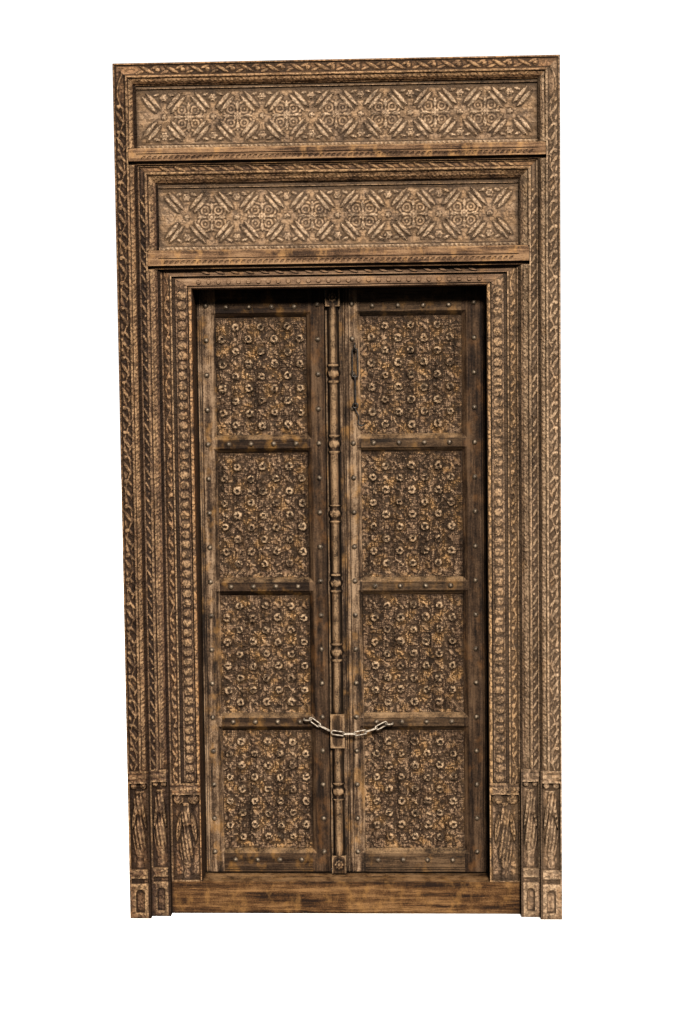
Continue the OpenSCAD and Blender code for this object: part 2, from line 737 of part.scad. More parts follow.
// Hinge stile on the left side, with its hinge edge chamfered to turn past the jamb and a pivot at each end
module hinge_stile(wide, panel_x) {
    edge = left_x0;
    inner = edge + wide;
    difference() {
        translate([0, 0, z_leaf]) linear_extrude(z_leaf_top - z_leaf) polygon([
            [edge, y_leaf + toe], [edge + toe, y_leaf], [inner, y_leaf], [inner, y_leaf_back],
            [edge + heel, y_leaf_back], [edge, y_leaf_back - heel]
        ]);
        stile_groove(inner - groove_d, inner + eps);
        for (z = panel_rows)
            splayed_opening([inner, inner + panel_x[1] - panel_x[0]], z);
        for (inset = hinge_lines)
            block([edge + inset, y_leaf - eps, z_leaf - eps],
                  [edge + inset + edge_groove, y_leaf + edge_groove, z_leaf_top + eps]);
    }
    translate([pivot_x, pivot_y, z_leaf_top])
        cylinder(h = top_gap + pivot_len, r = pivot_r);
    translate([pivot_x, pivot_y, threshold_h - pivot_len])
        cylinder(h = pivot_len + bottom_gap, r = pivot_r);
}

module left_hinge_stile() {
    color(grey_wood) hinge_stile(left_hinge_stile_w, left_panel_x);
}
module right_hinge_stile() {
    color(dark_wood) mirror([1, 0, 0]) hinge_stile(right_hinge_stile_w, right_panel_x);
}

module left_meeting_stile() {
    color(dark_wood) difference() {
        block([left_panel_x[1], y_leaf, z_leaf], [left_x1, y_leaf_back, z_leaf_top]);
        stile_groove(left_panel_x[1] - eps, left_panel_x[1] + groove_d);
        for (z = panel_rows)
            splayed_opening(left_panel_x, z);
    }
}

// The right meeting stile carries the astragal on its left and a grooved strip beside it
module right_meeting_stile() {
    strip = right_x0 + astragal_inset + astragal_w;
    color(grey_wood) difference() {
        block([right_x0, y_leaf, z_leaf], [right_panel_x[0], y_leaf_back, z_leaf_top]);
        stile_groove(right_panel_x[0] - groove_d, right_panel_x[0] + eps);
        for (z = panel_rows)
            splayed_opening(right_panel_x, z);
        for (inset = strip_lines)
            block([strip + inset, y_leaf - eps, z_leaf - eps],
                  [strip + inset + edge_groove, y_leaf + edge_groove, z_leaf_top + eps]);
    }
}

// A rail between two stiles, with stub tongues in their grooves and grooves for the panels it meets
module rail(x, z0, z1, rows) {
    y_tongue = y_ground + tongue_inset;
    difference() {
        union() {
            block([x[0] + fit, y_leaf, z0], [x[1] - fit, y_leaf_back, z1]);
            block([x[0] - groove_d + fit, y_tongue, z0], [x[1] + groove_d - fit, y_tongue + tongue_t, z1]);
        }
        for (row = rows) {
            splayed_opening(x, panel_rows[row]);
            block([x[0] - groove_d - eps, y_tongue - fit, panel_rows[row][0] - groove_d],
                  [x[1] + groove_d + eps, y_tongue + tongue_t + fit, panel_rows[row][1] + groove_d]);
        }
    }
}

// The bottom rail also has two grooves along its lower edge
module bottom_rail(x) {
    difference() {
        rail(x, z_leaf, z_panel_1, [0]);
        for (inset = rail_lines)
            block([x[0] - eps, y_leaf - eps, z_leaf + inset],
                  [x[1] + eps, y_leaf + edge_groove, z_leaf + inset + edge_groove]);
    }
}

module left_bottom_rail() { color(mid_wood) bottom_rail(left_panel_x); }
module left_lower_rail() { color(dark_wood) rail(left_panel_x, z_rail_1, z_panel_2, [0, 1]); }
module left_middle_rail() { color(mid_wood) rail(left_panel_x, z_rail_2, z_panel_3, [1, 2]); }
module left_upper_rail() { color(warm_wood) rail(left_panel_x, z_rail_3, z_panel_4, [2, 3]); }
module left_top_rail() { color(dark_wood) rail(left_panel_x, z_top_rail, z_leaf_top, [3]); }
module right_bottom_rail() { color(mid_wood) bottom_rail(right_panel_x); }
module right_lower_rail() { color(mid_wood) rail(right_panel_x, z_rail_1, z_panel_2, [0, 1]); }
module right_middle_rail() { color(warm_wood) rail(right_panel_x, z_rail_2, z_panel_3, [1, 2]); }
module right_upper_rail() { color(warm_wood) rail(right_panel_x, z_rail_3, z_panel_4, [2, 3]); }
module right_top_rail() { color(dark_wood) rail(right_panel_x, z_top_rail, z_leaf_top, [3]); }

// A carved panel: board with tongues all round, staggered rosettes with drilled eyes and slanted leaves between
module panel(x, z) {
    edge = groove_d - 2 * fit;
    xc = (x[0] + x[1]) / 2;
    zc = (z[0] + z[1]) / 2;
    wide = x[1] - x[0];
    tall = z[1] - z[0];
    slope = atan2(rosette_dz, rosette_dx);
    columns = floor((wide / 2 - rosette_r - 2) / rosette_dx);
    rows = floor((tall / 2 - rosette_r - 2) / rosette_dz);
    function lattice(odd) = [
        for (i = [-columns : columns], j = [-rows : rows])
            if (abs(i + j) % 2 == odd) [xc + i * rosette_dx, zc + j * rosette_dz]
    ];
    spots = lattice(0);
    difference() {
        union() {
            block([x[0] + fit, y_ground, z[0] + fit], [x[1] - fit, y_ground + panel_t, z[1] - fit]);
            block([x[0] - edge, y_ground + tongue_inset, z[0] - edge],
                  [x[1] + edge, y_ground + tongue_inset + tongue_t, z[1] + edge]);
            for (s = lattice(1))
                leaf(s[0], y_ground - spray_h, s[1], slope, spray_len, spray_w, spray_h);
            for (s = spots)
                boss(s[0], y_ground - rosette_h, s[1], rosette_r, rosette_h);
        }
        for (s = spots)
            translate([s[0], y_ground - rosette_h + rosette_hole_r, s[1]]) rotate([90, 0, 0])
                cylinder(h = rosette_hole_r + eps, r = rosette_hole_r);
    }
}

module left_panel_1() { color(mid_wood) panel(left_panel_x, panel_rows[0]); }
module left_panel_2() { color(mid_wood) panel(left_panel_x, panel_rows[1]); }
module left_panel_3() { color(grey_wood) panel(left_panel_x, panel_rows[2]); }
module left_panel_4() { color(mid_wood) panel(left_panel_x, panel_rows[3]); }
module right_panel_1() { color(mid_wood) panel(right_panel_x, panel_rows[0]); }
module right_panel_2() { color(mid_wood) panel(right_panel_x, panel_rows[1]); }
module right_panel_3() { color(grey_wood) panel(right_panel_x, panel_rows[2]); }
module right_panel_4() { color(mid_wood) panel(right_panel_x, panel_rows[3]); }

// A domed nail head seated on the face of a leaf
module nail(x, z) {
    dome_r = (nail_r * nail_r + nail_h * nail_h) / (2 * nail_h);
    translate([x, y_leaf, z]) rotate([90, 0, 0]) intersection() {
        translate([0, 0, nail_h - dome_r]) sphere(dome_r);
        cylinder(h = nail_h + eps, r = nail_r + eps);
    }
}

// Nails up two stiles and along every rail of one leaf
module leaf_nails(stile_x, panel_x) {
    count = floor((z_leaf_top - z_leaf - nail_pitch) / nail_pitch);
    for (x = stile_x, i = [0 : count])
        nail(x, z_leaf + nail_pitch * (i + 0.6));
    rail_z = [
        z_panel_1 - splay - (bottom_rail_h - splay) / 2 + nail_r, z_rail_1 + rail_h / 2, z_rail_2 + rail_h / 2,
        z_rail_3 + rail_h / 2, z_top_rail + splay + 2 * nail_r
    ];
    for (z = rail_z, i = [0 : rail_nails - 1])
        nail(panel_x[0] + (i + 0.5) * (panel_x[1] - panel_x[0]) / rail_nails, z);
}

module left_nails() {
    color(iron) leaf_nails([left_x0 + nail_strip_inset, left_x1 - meeting_nail_inset], left_panel_x);
}
module right_nails() {
    color(iron) leaf_nails([right_panel_x[0] - splay - nail_r - nail_edge, right_x1 - right_nail_inset], right_panel_x);
}

// Half-round turned batten between square blocks, with a ringed knop at every pitch from the first one down
module astragal_2d(z0, z1, first) {
    knops = floor((z1 - z0 - first - knop_r) / knop_pitch) + 1;
    ring_r = 3;
    translate([0, z0]) square([shaft_r, z1 - z0]);
    for (i = [0 : knops - 1]) {
        z = z1 - first - knop_pitch * i;
        intersection() {
            translate([0, z]) circle(knop_r);
            square([knop_r + eps, z1 + knop_pitch]);
        }
        for (side = [-1, 1])
            translate([shaft_r - 1, z + side * (knop_r + ring_r)]) circle(ring_r);
    }
}

module astragal() {
    x = right_x0 + astragal_inset + astragal_w / 2;
    half = astragal_w / 2;
    z_low = z_leaf + end_block_h;
    z_high = z_door_top - end_block_h;
    z_block = z_panel_2 - chain_block_h;
    color(grey_wood) {
        translate([x, y_leaf, 0]) rotate([0, 0, 180]) rotate_extrude(angle = 180)
            astragal_2d(z_low - embed, z_block + embed, lower_knop_drop);
        translate([x, y_leaf, 0]) rotate([0, 0, 180]) rotate_extrude(angle = 180)
            astragal_2d(z_panel_2 - embed, z_high + embed, upper_knop_drop);
        block([x - half, y_leaf - half, z_leaf], [x + half, y_leaf, z_low]);
        block([x - half, y_leaf - half, z_block], [x + half, y_leaf, z_panel_2]);
        block([x - half, y_leaf - half, z_high], [x + half, y_leaf, z_door_top]);
    }
}

// A staple in its own X and Y plane, its legs running back along Y from the bend to the leaf's face
module staple() {
    leg = staple_out - staple_span / 2;
    for (side = [-1, 1])
        translate([side * staple_span / 2, y_leaf, 0]) rotate([90, 0, 0]) cylinder(h = leg, r = staple_r);
    translate([0, y_leaf - leg, 0]) rotate([0, 0, 180]) rotate_extrude(angle = 180)
        translate([staple_span / 2, 0]) circle(staple_r);
}

// A wire link in the X and Y plane, from the centre of its first bend along +X
module link(len, wide, r) {
    for (side = [-1, 1])
        translate([0, side * wide / 2, 0]) rotate([0, 90, 0]) cylinder(h = len, r = r);
    rotate([0, 0, 90]) rotate_extrude(angle = 180) translate([wide / 2, 0]) circle(r);
    translate([len, 0, 0]) rotate([0, 0, -90]) rotate_extrude(angle = 180) translate([wide / 2, 0]) circle(r);
}

// A link whose far end is a straight bar between two quarter bends, for a piece that turns on it
module barred_link(len, wide, r) {
    bend = (wide - hasp_bar) / 2;
    for (side = [-1, 1])
        translate([0, side * wide / 2, 0]) rotate([0, 90, 0]) cylinder(h = len, r = r);
    rotate([0, 0, 90]) rotate_extrude(angle = 180) translate([wide / 2, 0]) circle(r);
    translate([len, hasp_bar / 2, 0]) rotate_extrude(angle = 90) translate([bend, 0]) circle(r);
    translate([len, -hasp_bar / 2, 0]) rotate([0, 0, -90]) rotate_extrude(angle = 90)
        translate([bend, 0]) circle(r);
    translate([len + bend, hasp_bar / 2, 0]) rotate([90, 0, 0]) cylinder(h = hasp_bar, r = r);
}

// Distance from the centre of a bend to the centre of the next link's first bend
chain_skip = link_w - 2 * link_r - link_gap;
link_len = link_pitch - chain_skip;
// Distance from the leg of a staple to the centre of the first link's bend
chain_start = link_w / 2 - link_r - staple_r - link_gap;
chain_lean = 16;
link_levelling = 8;

// One stretch of chain from a staple's leg, sinking at first and levelling link by link
module chain(count, side, fall, leaning) {
    function turn(i) = -fall + link_levelling * i;
    function lean(i) = i < leaning ? chain_lean : 0;
    function along(i) = [cos(lean(i)) * cos(turn(i)), -sin(lean(i)), cos(lean(i)) * sin(turn(i))];
    function spot(i) = i == 0 ? chain_start * along(0) : spot(i - 1) + link_len * along(i - 1)
        + chain_skip / 2 * (along(i - 1) + along(i));
    mirror([side < 0 ? 1 : 0, 0, 0]) for (i = [0 : count - 1])
        translate(spot(i)) rotate([0, -turn(i), 0]) rotate([0, 0, -lean(i)])
            rotate([i % 2 == 0 ? 90 : 0, 0, 0]) link(link_len, link_w, link_r);
}

module chain_staple_left() {
    color(iron) translate([chain_left_x - staple_span / 2, 0, chain_z]) staple();
}
module chain_staple_right() {
    color(iron) translate([chain_right_x + staple_span / 2, 0, chain_right_z]) staple();
}
module chain_links_left() {
    color(iron) translate([chain_left_x, y_hang, chain_z]) chain(left_links, 1, 33, 2);
}
module chain_links_right() {
    color(iron) translate([chain_right_x, y_hang, chain_right_z]) chain(right_links, -1, 24, 3);
}

module hasp_staple() {
    color(iron) translate([hasp_x, 0, hasp_z]) rotate([0, 90, 0]) staple();
}

// Levels of the hanging hasp: leg of its staple, then the bars that the links hang on
hasp_leg_z = hasp_z - staple_span / 2;
long_top_z = hasp_leg_z - (hasp_w / 2 - hasp_r - staple_r - link_gap);
long_bottom_z = hasp_leg_z - long_link;
second_bottom_z = long_bottom_z - second_link;
second_w = hasp_w - 2;

module hasp_long_link() {
    len = long_top_z - long_bottom_z - (hasp_w - hasp_bar) / 2;
    color(iron) translate([hasp_x, y_hang, long_top_z]) rotate([90, 90, 0]) barred_link(len, hasp_w, hasp_r);
}

module hasp_second_link() {
    top = long_bottom_z - (second_w / 2 - 2 * hasp_r - link_gap);
    len = top - second_bottom_z - (second_w - hasp_bar) / 2;
    color(iron) translate([hasp_x, y_hang, top]) rotate([0, 90, 0]) barred_link(len, second_w, hasp_r);
}

// A bent wire arc in the X and Z plane about a centre, from one angle through a sweep
module wire_arc(centre, bend_r, from, sweep) {
    translate([centre[0], 0, centre[1]]) rotate([90, 0, 0]) rotate([0, 0, from]) rotate_extrude(angle = sweep)
        translate([bend_r, 0]) circle(0.88 * hasp_r);
}

// S-shaped hook: an eye, two counter bends and an upturned end, with a hammered knuckle where the bends meet
module hasp_hook() {
    eye_r = 2 * hasp_r + link_gap + 1;
    sway = 34;
    bend = 26;
    second_sweep = 52;
    tip_r = 9;
    short = 1;
    first = [bend, -eye_r];
    first_end = first + bend * [cos(180 + sway), sin(180 + sway)];
    second = first_end - bend * [cos(sway), sin(sway)];
    low = sway - second_sweep;
    second_end = second + bend * [cos(low), sin(low)];
    third = second_end + tip_r * [cos(low), sin(low)];
    color(iron) translate([hasp_x, y_hang, second_bottom_z - (eye_r - 2 * hasp_r - link_gap)]) {
        rotate([90, 0, 0]) rotate_extrude() translate([eye_r, 0]) circle(hasp_r);
        wire_arc(first, bend, 180, sway - short);
        wire_arc(second, bend, low + short, second_sweep - 2 * short);
        wire_arc(third, tip_r, 180 + low + short, 190);
        for (p = [first_end, second_end])
            translate([p[0], 0, p[1]]) sphere(1.04 * hasp_r);
    }
}

outer_jamb_left();
outer_jamb_right();
outer_head();
upper_frieze();
upper_transom();
middle_jamb_left();
middle_jamb_right();
middle_head();
lower_frieze();
lower_transom();
inner_jamb_left();
inner_jamb_right();
inner_head();
threshold();
left_hinge_stile();
left_meeting_stile();
left_bottom_rail();
left_lower_rail();
left_middle_rail();
left_upper_rail();
left_top_rail();
left_panel_1();
left_panel_2();
left_panel_3();
left_panel_4();
left_nails();
right_hinge_stile();
right_meeting_stile();
right_bottom_rail();
right_lower_rail();
right_middle_rail();
right_upper_rail();
right_top_rail();
right_panel_1();
right_panel_2();
right_panel_3();
right_panel_4();
right_nails();
astragal();
hasp_staple();
hasp_long_link();
hasp_second_link();
hasp_hook();
chain_staple_left();
chain_staple_right();
chain_links_left();
chain_links_right();
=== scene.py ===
import math

import bpy
import numpy as np
from mathutils import Matrix, Vector


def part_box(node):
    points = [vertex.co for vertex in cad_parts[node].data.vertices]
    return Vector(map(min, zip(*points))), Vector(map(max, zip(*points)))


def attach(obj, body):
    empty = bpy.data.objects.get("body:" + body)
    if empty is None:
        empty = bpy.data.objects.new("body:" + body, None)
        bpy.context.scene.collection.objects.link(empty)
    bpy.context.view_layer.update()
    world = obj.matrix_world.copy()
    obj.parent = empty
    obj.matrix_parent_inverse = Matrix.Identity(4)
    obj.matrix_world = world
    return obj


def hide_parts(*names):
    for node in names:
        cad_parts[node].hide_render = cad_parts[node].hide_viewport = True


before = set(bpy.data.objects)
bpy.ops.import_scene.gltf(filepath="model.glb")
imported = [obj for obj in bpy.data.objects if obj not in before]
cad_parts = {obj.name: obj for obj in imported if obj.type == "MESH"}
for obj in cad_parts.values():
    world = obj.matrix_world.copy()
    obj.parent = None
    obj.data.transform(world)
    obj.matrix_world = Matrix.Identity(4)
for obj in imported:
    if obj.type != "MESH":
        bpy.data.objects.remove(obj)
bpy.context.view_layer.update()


# The outer jambs are the widest pair of posts, adzed from dense dark timber and carved on the front.
# A leaf scroll fills the sunk flat, a twisted cord runs down the bevel beside it, and the foot is
# cut as a vase in a niche under a small capital. They stand on the floor and carry the outer head.
def corners(node):
    """The low and the high corner of a node's box."""
    low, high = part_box(node)
    return np.array(low), np.array(high)


outer_low, outer_high = corners("outer_jamb_left")
outer_w = outer_high[0] - outer_low[0]
frame_h = outer_high[2]
foot_h = 0.412
plinth_h = 0.135
cap_h = 0.034
niche_d = 0.012
relief = 0.004
margin = 0.004
outer_flat = 0.037
outer_drop = 0.018
scroll_pitch = 0.067
strand_pitch = 0.011
line_shares = (0.10, 0.18, 0.82, 0.90)
edge_gap = 0.0002
wall_w = 0.0006
vein_w = 0.0009
full_step = 0.0022
hand_cut = 0.0005
lap_d = 0.026
joint_w = 0.006
joint_shadow = 1.4
bevel_painted_light = -0.5
carving_sharp = 52
across_step = 0.0018
long_step = 0.0028
mitre_lines = 20
vase_in = 0.014


def ease(value):
    """A smooth step from 0 to 1."""
    value = np.clip(value, 0, 1)
    return value * value * (3 - 2 * value)


def grid_lines(start, stop, step, edges=()):
    """Lines from start to stop about a step apart, with a close pair at each sharp edge."""
    lines = list(np.linspace(start, stop, max(2, round((stop - start) / step) + 1)))
    for edge in edges:
        lines += [edge - edge_gap, edge + edge_gap]
    return np.unique(np.clip(lines, start, stop))


def nearest(along, first, pitch, count):
    """Distance along a row of repeats to the nearest of them."""
    index = np.clip(np.round((along - first) / pitch), 0, count - 1)
    return along - first - index * pitch


def knob(across, along, radius):
    """A round knob, 1 at its top and 0 at its rim."""
    return np.sqrt(np.clip(1 - (across ** 2 + along ** 2) / radius ** 2, 0, 1))


def carved_leaf(across, along, slope, length, width, vein=0.4):
    """A pointed leaf with a vein cut down its middle, falling by slope degrees from the across direction."""
    cosine, sine = math.cos(math.radians(slope)), math.sin(math.radians(slope))
    run, side = across * cosine - along * sine, across * sine + along * cosine
    arc = (length ** 2 + width ** 2) / (4 * width)
    half = np.sqrt(np.clip(arc ** 2 - run ** 2, 0, None)) - (arc - width / 2)
    inside = (np.abs(run) < length / 2) & (half > 1e-5)
    body = np.where(inside, np.clip(1 - (side / np.where(inside, half, 1)) ** 2, 0, 1), 0) ** 0.5
    return body * (1 - vein * np.exp(-(side / vein_w) ** 2) * (np.abs(run) < length * 0.4))


def hand_wander(x, z):
    """The slow unevenness of a hand-cut surface, from -1 to 1."""
    return (np.sin(61 * z + 3 * np.sin(17 * x + 5 * z)) + np.sin(113 * x - 47 * z + 2 * np.sin(29 * z))
            + np.sin(211 * z + 157 * x)) / 3


def hand_finished(depth, x, z, height=hand_cut):
    """A depth with the unevenness of hand cutting, kept behind the face of the timber.
    A timber that shifts x or z gets an unevenness of its own."""
    return np.clip(depth + height * hand_wander(x, z), 0, None)


def standing_proud(depth):
    """How far each point stands above (to 1) or lies below (to -1) the carving close round it."""
    proud = np.zeros_like(depth)
    for reach, share in ((2, 1.6), (6, 0.6)):
        mean = depth
        for axis in (0, 1):
            border = [(0, 0), (0, 0)]
            border[axis] = (reach, reach)
            padded = np.pad(mean, border, mode="edge")
            window = np.lib.stride_tricks.sliding_window_view(padded, 2 * reach + 1, axis=axis)
            mean = window.mean(axis=-1)
        proud += share * (mean - depth) / full_step
    return np.clip(proud, -1, 1)


def grid_quads(number):
    """The faces between the numbered points of a grid."""
    loops = np.stack([number[:-1, :-1], number[1:, :-1], number[1:, 1:], number[:-1, 1:]], axis=-1)
    return loops.reshape(-1, 4)


def mark_points(mesh, label, values):
    """Stores a value at every point, for the material to read."""
    mesh.attributes.new(label, "FLOAT", "POINT").data.foreach_set("value", values.astype(np.float32))


def smooth_object(name, mesh, sharp_angle):
    """An object with smooth faces, parted where they meet at more than the sharp angle."""
    mesh.polygons.foreach_set("use_smooth", np.ones(len(mesh.polygons), bool))
    mesh.set_sharp_from_angle(angle=math.radians(sharp_angle))
    piece = bpy.data.objects.new(name, mesh)
    bpy.context.scene.collection.objects.link(piece)
    return piece


def carved_piece(name, x, y, z, y_back, warm, painted_shading_and_wear, rear_tone=0.0):
    """A closed timber: a carved front from grids of points, plain edges and a plain back."""
    wide, tall = x.shape
    number = np.arange(wide * tall).reshape(wide, tall)
    foot, top = wide * tall + np.arange(wide), wide * tall + wide + np.arange(wide)
    rear = np.broadcast_to(y_back, wide)
    points = np.concatenate([
        np.stack([x, y, z], axis=-1).reshape(-1, 3),
        np.stack([x[:, 0], rear, z[:, 0]], axis=-1),
        np.stack([x[:, -1], rear, z[:, -1]], axis=-1)])
    quads = np.concatenate([
        grid_quads(number),
        np.stack([number[:-1, 0], foot[:-1], foot[1:], number[1:, 0]], axis=-1),
        np.stack([number[:-1, -1], number[1:, -1], top[1:], top[:-1]], axis=-1),
        np.stack([foot[:-1], top[:-1], top[1:], foot[1:]], axis=-1)])
    ends = [[*number[0], top[0], foot[0]], [foot[-1], top[-1], *number[-1, ::-1]]]
    mesh = bpy.data.meshes.new(name)
    mesh.from_pydata(points.tolist(), [], quads.tolist() + [[int(corner) for corner in end] for end in ends])
    # Proud mark less the painted shading: below 0 the material paints shade, above 0 it rubs pale with a
    # painted highlight
    proud = np.clip(standing_proud(y) - painted_shading_and_wear, -1, 1)
    # The back and edges take rear_tone, which paints shade where it is below 0
    for label, values, edge in (("proud", proud, rear_tone), ("warm", warm, 0.2), ("cut", 1, 0)):
        front = np.broadcast_to(values, x.shape).reshape(-1)
        mark_points(mesh, label, np.concatenate([front, np.full(2 * wide, edge)]))
    return smooth_object(name, mesh, carving_sharp)


def aged_wood(name, dark, mid, pale, patch, grain="Z", patchy=0.4, rubbed=(0.36, 0.235, 0.13), gouged=0.0,
              rub_and_highlight_share=0.6, crevice_shade_share=0.92, hollow_shade_share=0.85, spread=0.1):
    """Dry, dusty hardwood: long grain, blotches, ridges rubbed pale and painted with a highlight, painted
    shade in hollows and dust on the ledges.
    """
    material = bpy.data.materials.new(name)
    material.use_nodes = True
    tree = material.node_tree
    shader = tree.nodes["Principled BSDF"]
    shader.inputs["Specular IOR Level"].default_value = 0.12

    def add(kind, **settings):
        made = tree.nodes.new(kind)
        for key, value in settings.items():
            setattr(made, key, value)
        return made

    def sums(operation, first, second):
        made = add("ShaderNodeMath", operation=operation)
        for socket, value in zip(made.inputs, (first, second)):
            if isinstance(value, (int, float)):
                socket.default_value = value
            else:
                tree.links.new(value, socket)
        return made.outputs[0]

    def blend_of(*shares):
        total = None
        for value, share in shares:
            part = sums("MULTIPLY", value, share)
            total = part if total is None else sums("ADD", total, part)
        return total

    def noise(scale, detail, stretch=(1, 1, 1), rough=0.6):
        mapping = add("ShaderNodeMapping")
        mapping.inputs["Scale"].default_value = stretch
        tree.links.new(place.outputs["Object"], mapping.inputs["Vector"])
        made = add("ShaderNodeTexNoise")
        made.inputs["Scale"].default_value = scale
        made.inputs["Detail"].default_value = detail
        made.inputs["Roughness"].default_value = rough
        tree.links.new(mapping.outputs["Vector"], made.inputs["Vector"])
        return made.outputs["Fac"]

    def between(value, low, high):
        made = add("ShaderNodeMapRange", interpolation_type="SMOOTHSTEP")
        made.inputs["From Min"].default_value = low
        made.inputs["From Max"].default_value = high
        tree.links.new(value, made.inputs["Value"])
        return made.outputs["Result"]

    def tinted(share, under, colour):
        made = add("ShaderNodeMix", data_type="RGBA")
        tree.links.new(share, made.inputs["Factor"])
        tree.links.new(under, made.inputs["A"])
        made.inputs["B"].default_value = (*colour, 1)
        return made.outputs["Result"]

    def carved(label):
        return add("ShaderNodeAttribute", attribute_name=label).outputs["Fac"]

    place = add("ShaderNodeTexCoord")
    stretch = {"Z": (1, 1, 0.06), "X": (0.06, 1, 1)}[grain]
    fibre = noise(230, 6, stretch)
    streak = noise(60, 6, stretch)
    blotch = noise(24, 7, rough=0.7)
    speck = noise(280, 4, rough=0.7)
    # Short curved gouge cuts, only on the carved front
    marks = add("ShaderNodeTexVoronoi", feature="SMOOTH_F1")
    marks.inputs["Scale"].default_value = 120
    marks.inputs["Smoothness"].default_value = 0.3
    bent = add("ShaderNodeVectorMath", operation="ADD")
    swirl = add("ShaderNodeTexNoise")
    swirl.inputs["Scale"].default_value = 60
    sway = add("ShaderNodeVectorMath", operation="SCALE")
    sway.inputs["Scale"].default_value = 0.02
    tree.links.new(place.outputs["Object"], swirl.inputs["Vector"])
    tree.links.new(swirl.outputs["Color"], sway.inputs["Vector"])
    tree.links.new(place.outputs["Object"], bent.inputs["Vector"])
    tree.links.new(sway.outputs["Vector"], bent.inputs[1])
    tree.links.new(bent.outputs["Vector"], marks.inputs["Vector"])
    gouge = sums("MULTIPLY", between(marks.outputs["Distance"], 0.38, 0.72), carved("cut"))
    # Grain and blotches run between the dark, middle and pale tones, with patches over them
    ramp = add("ShaderNodeValToRGB")
    ramp.color_ramp.elements[0].position = 0.5 - spread
    ramp.color_ramp.elements[0].color = (*dark, 1)
    ramp.color_ramp.elements[1].position = 0.51 + spread
    ramp.color_ramp.elements[1].color = (*pale, 1)
    ramp.color_ramp.elements.new(0.5).color = (*mid, 1)
    tree.links.new(blend_of((streak, 0.4), (blotch, 0.2), (fibre, 0.2), (speck, 0.2)), ramp.inputs["Fac"])
    patches = sums("MULTIPLY", between(noise(30, 7, (1, 1, 0.7)), 0.5, 0.7), patchy)
    colour = tinted(patches, ramp.outputs["Color"], patch)
    colour = tinted(sums("MULTIPLY", carved("warm"), between(blotch, 0.38, 0.58)), colour, patch)
    # Ridges are rubbed pale, partly wear and partly a painted highlight, and dust lies on the ledges
    proud = carved("proud")
    rub_and_painted_light = between(blend_of((blotch, 0.5), (speck, 0.5)), 0.38, 0.58)
    pale_rub_and_highlight = sums("MULTIPLY", between(proud, 0.08, 0.75), rub_and_painted_light)
    colour = tinted(sums("MULTIPLY", pale_rub_and_highlight, rub_and_highlight_share), colour, rubbed)
    facing = add("ShaderNodeSeparateXYZ")
    tree.links.new(add("ShaderNodeNewGeometry").outputs["Normal"], facing.inputs["Vector"])
    dusting = between(blend_of((blotch, 0.6), (speck, 0.4)), 0.4, 0.6)
    ledge = sums("MULTIPLY", between(facing.outputs["Z"], 0.3, 0.8), dusting)
    colour = tinted(sums("MULTIPLY", ledge, 0.35), colour, rubbed)
    # Painted shade darkens hollows, and crevices by ambient occlusion, and the gouge cuts are darkened too
    crevice = add("ShaderNodeAmbientOcclusion", samples=6)
    crevice.inputs["Distance"].default_value = 0.014
    shade = sums("SUBTRACT", 1, between(crevice.outputs["AO"], 0.3, 0.88))
    pitted = sums("MULTIPLY", gouge, 0.85 * gouged)
    painted_hollow_shade = sums("MULTIPLY", between(proud, -0.08, -0.65), hollow_shade_share)
    painted_shade_and_cuts = sums("MAXIMUM", painted_hollow_shade, sums("MULTIPLY", shade, crevice_shade_share))
    painted_shade_and_cuts = sums("MAXIMUM", painted_shade_and_cuts, pitted)
    colour = tinted(painted_shade_and_cuts, colour, tuple(0.3 * c for c in dark))
    tree.links.new(colour, shader.inputs["Base Color"])
    # The surface is dry, with raised fibres, cracks and cuts
    gloss = add("ShaderNodeMapRange")
    gloss.inputs["To Min"].default_value = 0.5
    gloss.inputs["To Max"].default_value = 0.85
    tree.links.new(blend_of((fibre, 0.5), (blotch, 0.5)), gloss.inputs["Value"])
    tree.links.new(gloss.outputs["Result"], shader.inputs["Roughness"])
    crack = between(noise(70, 2, stretch), 0.61, 0.69)
    bump = add("ShaderNodeBump")
    bump.inputs["Strength"].default_value = 0.9
    bump.inputs["Distance"].default_value = 0.002
    rise = blend_of((fibre, 0.8), (speck, 0.8), (crack, -0.6), (gouge, -1.1 * gouged))
    tree.links.new(rise, bump.inputs["Height"])
    tree.links.new(bump.outputs["Normal"], shader.inputs["Normal"])
    return material


def upright(wide, z_low, z_corner, z_top, across_edges, along_edges, along_step=long_step):
    """Grids for a post with a mitred top: distance from its outer edge, and height."""
    across = grid_lines(0, wide, across_step, across_edges)
    along = grid_lines(z_low, z_corner, along_step, along_edges)
    share = np.linspace(0, 1, mitre_lines)[1:]
    u, z = np.meshgrid(across, along, indexing="ij")
    u_top = np.broadcast_to(across[:, None], (len(across), len(share)))
    z_end = z_corner + (z_top - z_corner) * (1 - u_top / wide) * share
    return np.hstack([u, u_top]), np.hstack([z, z_end])


def bevel_edges(wide, flat):
    """The sharp edges across a timber with a sunk flat and a bevel."""
    return (margin, flat - margin, flat, *(flat + (wide - flat) * share for share in line_shares))


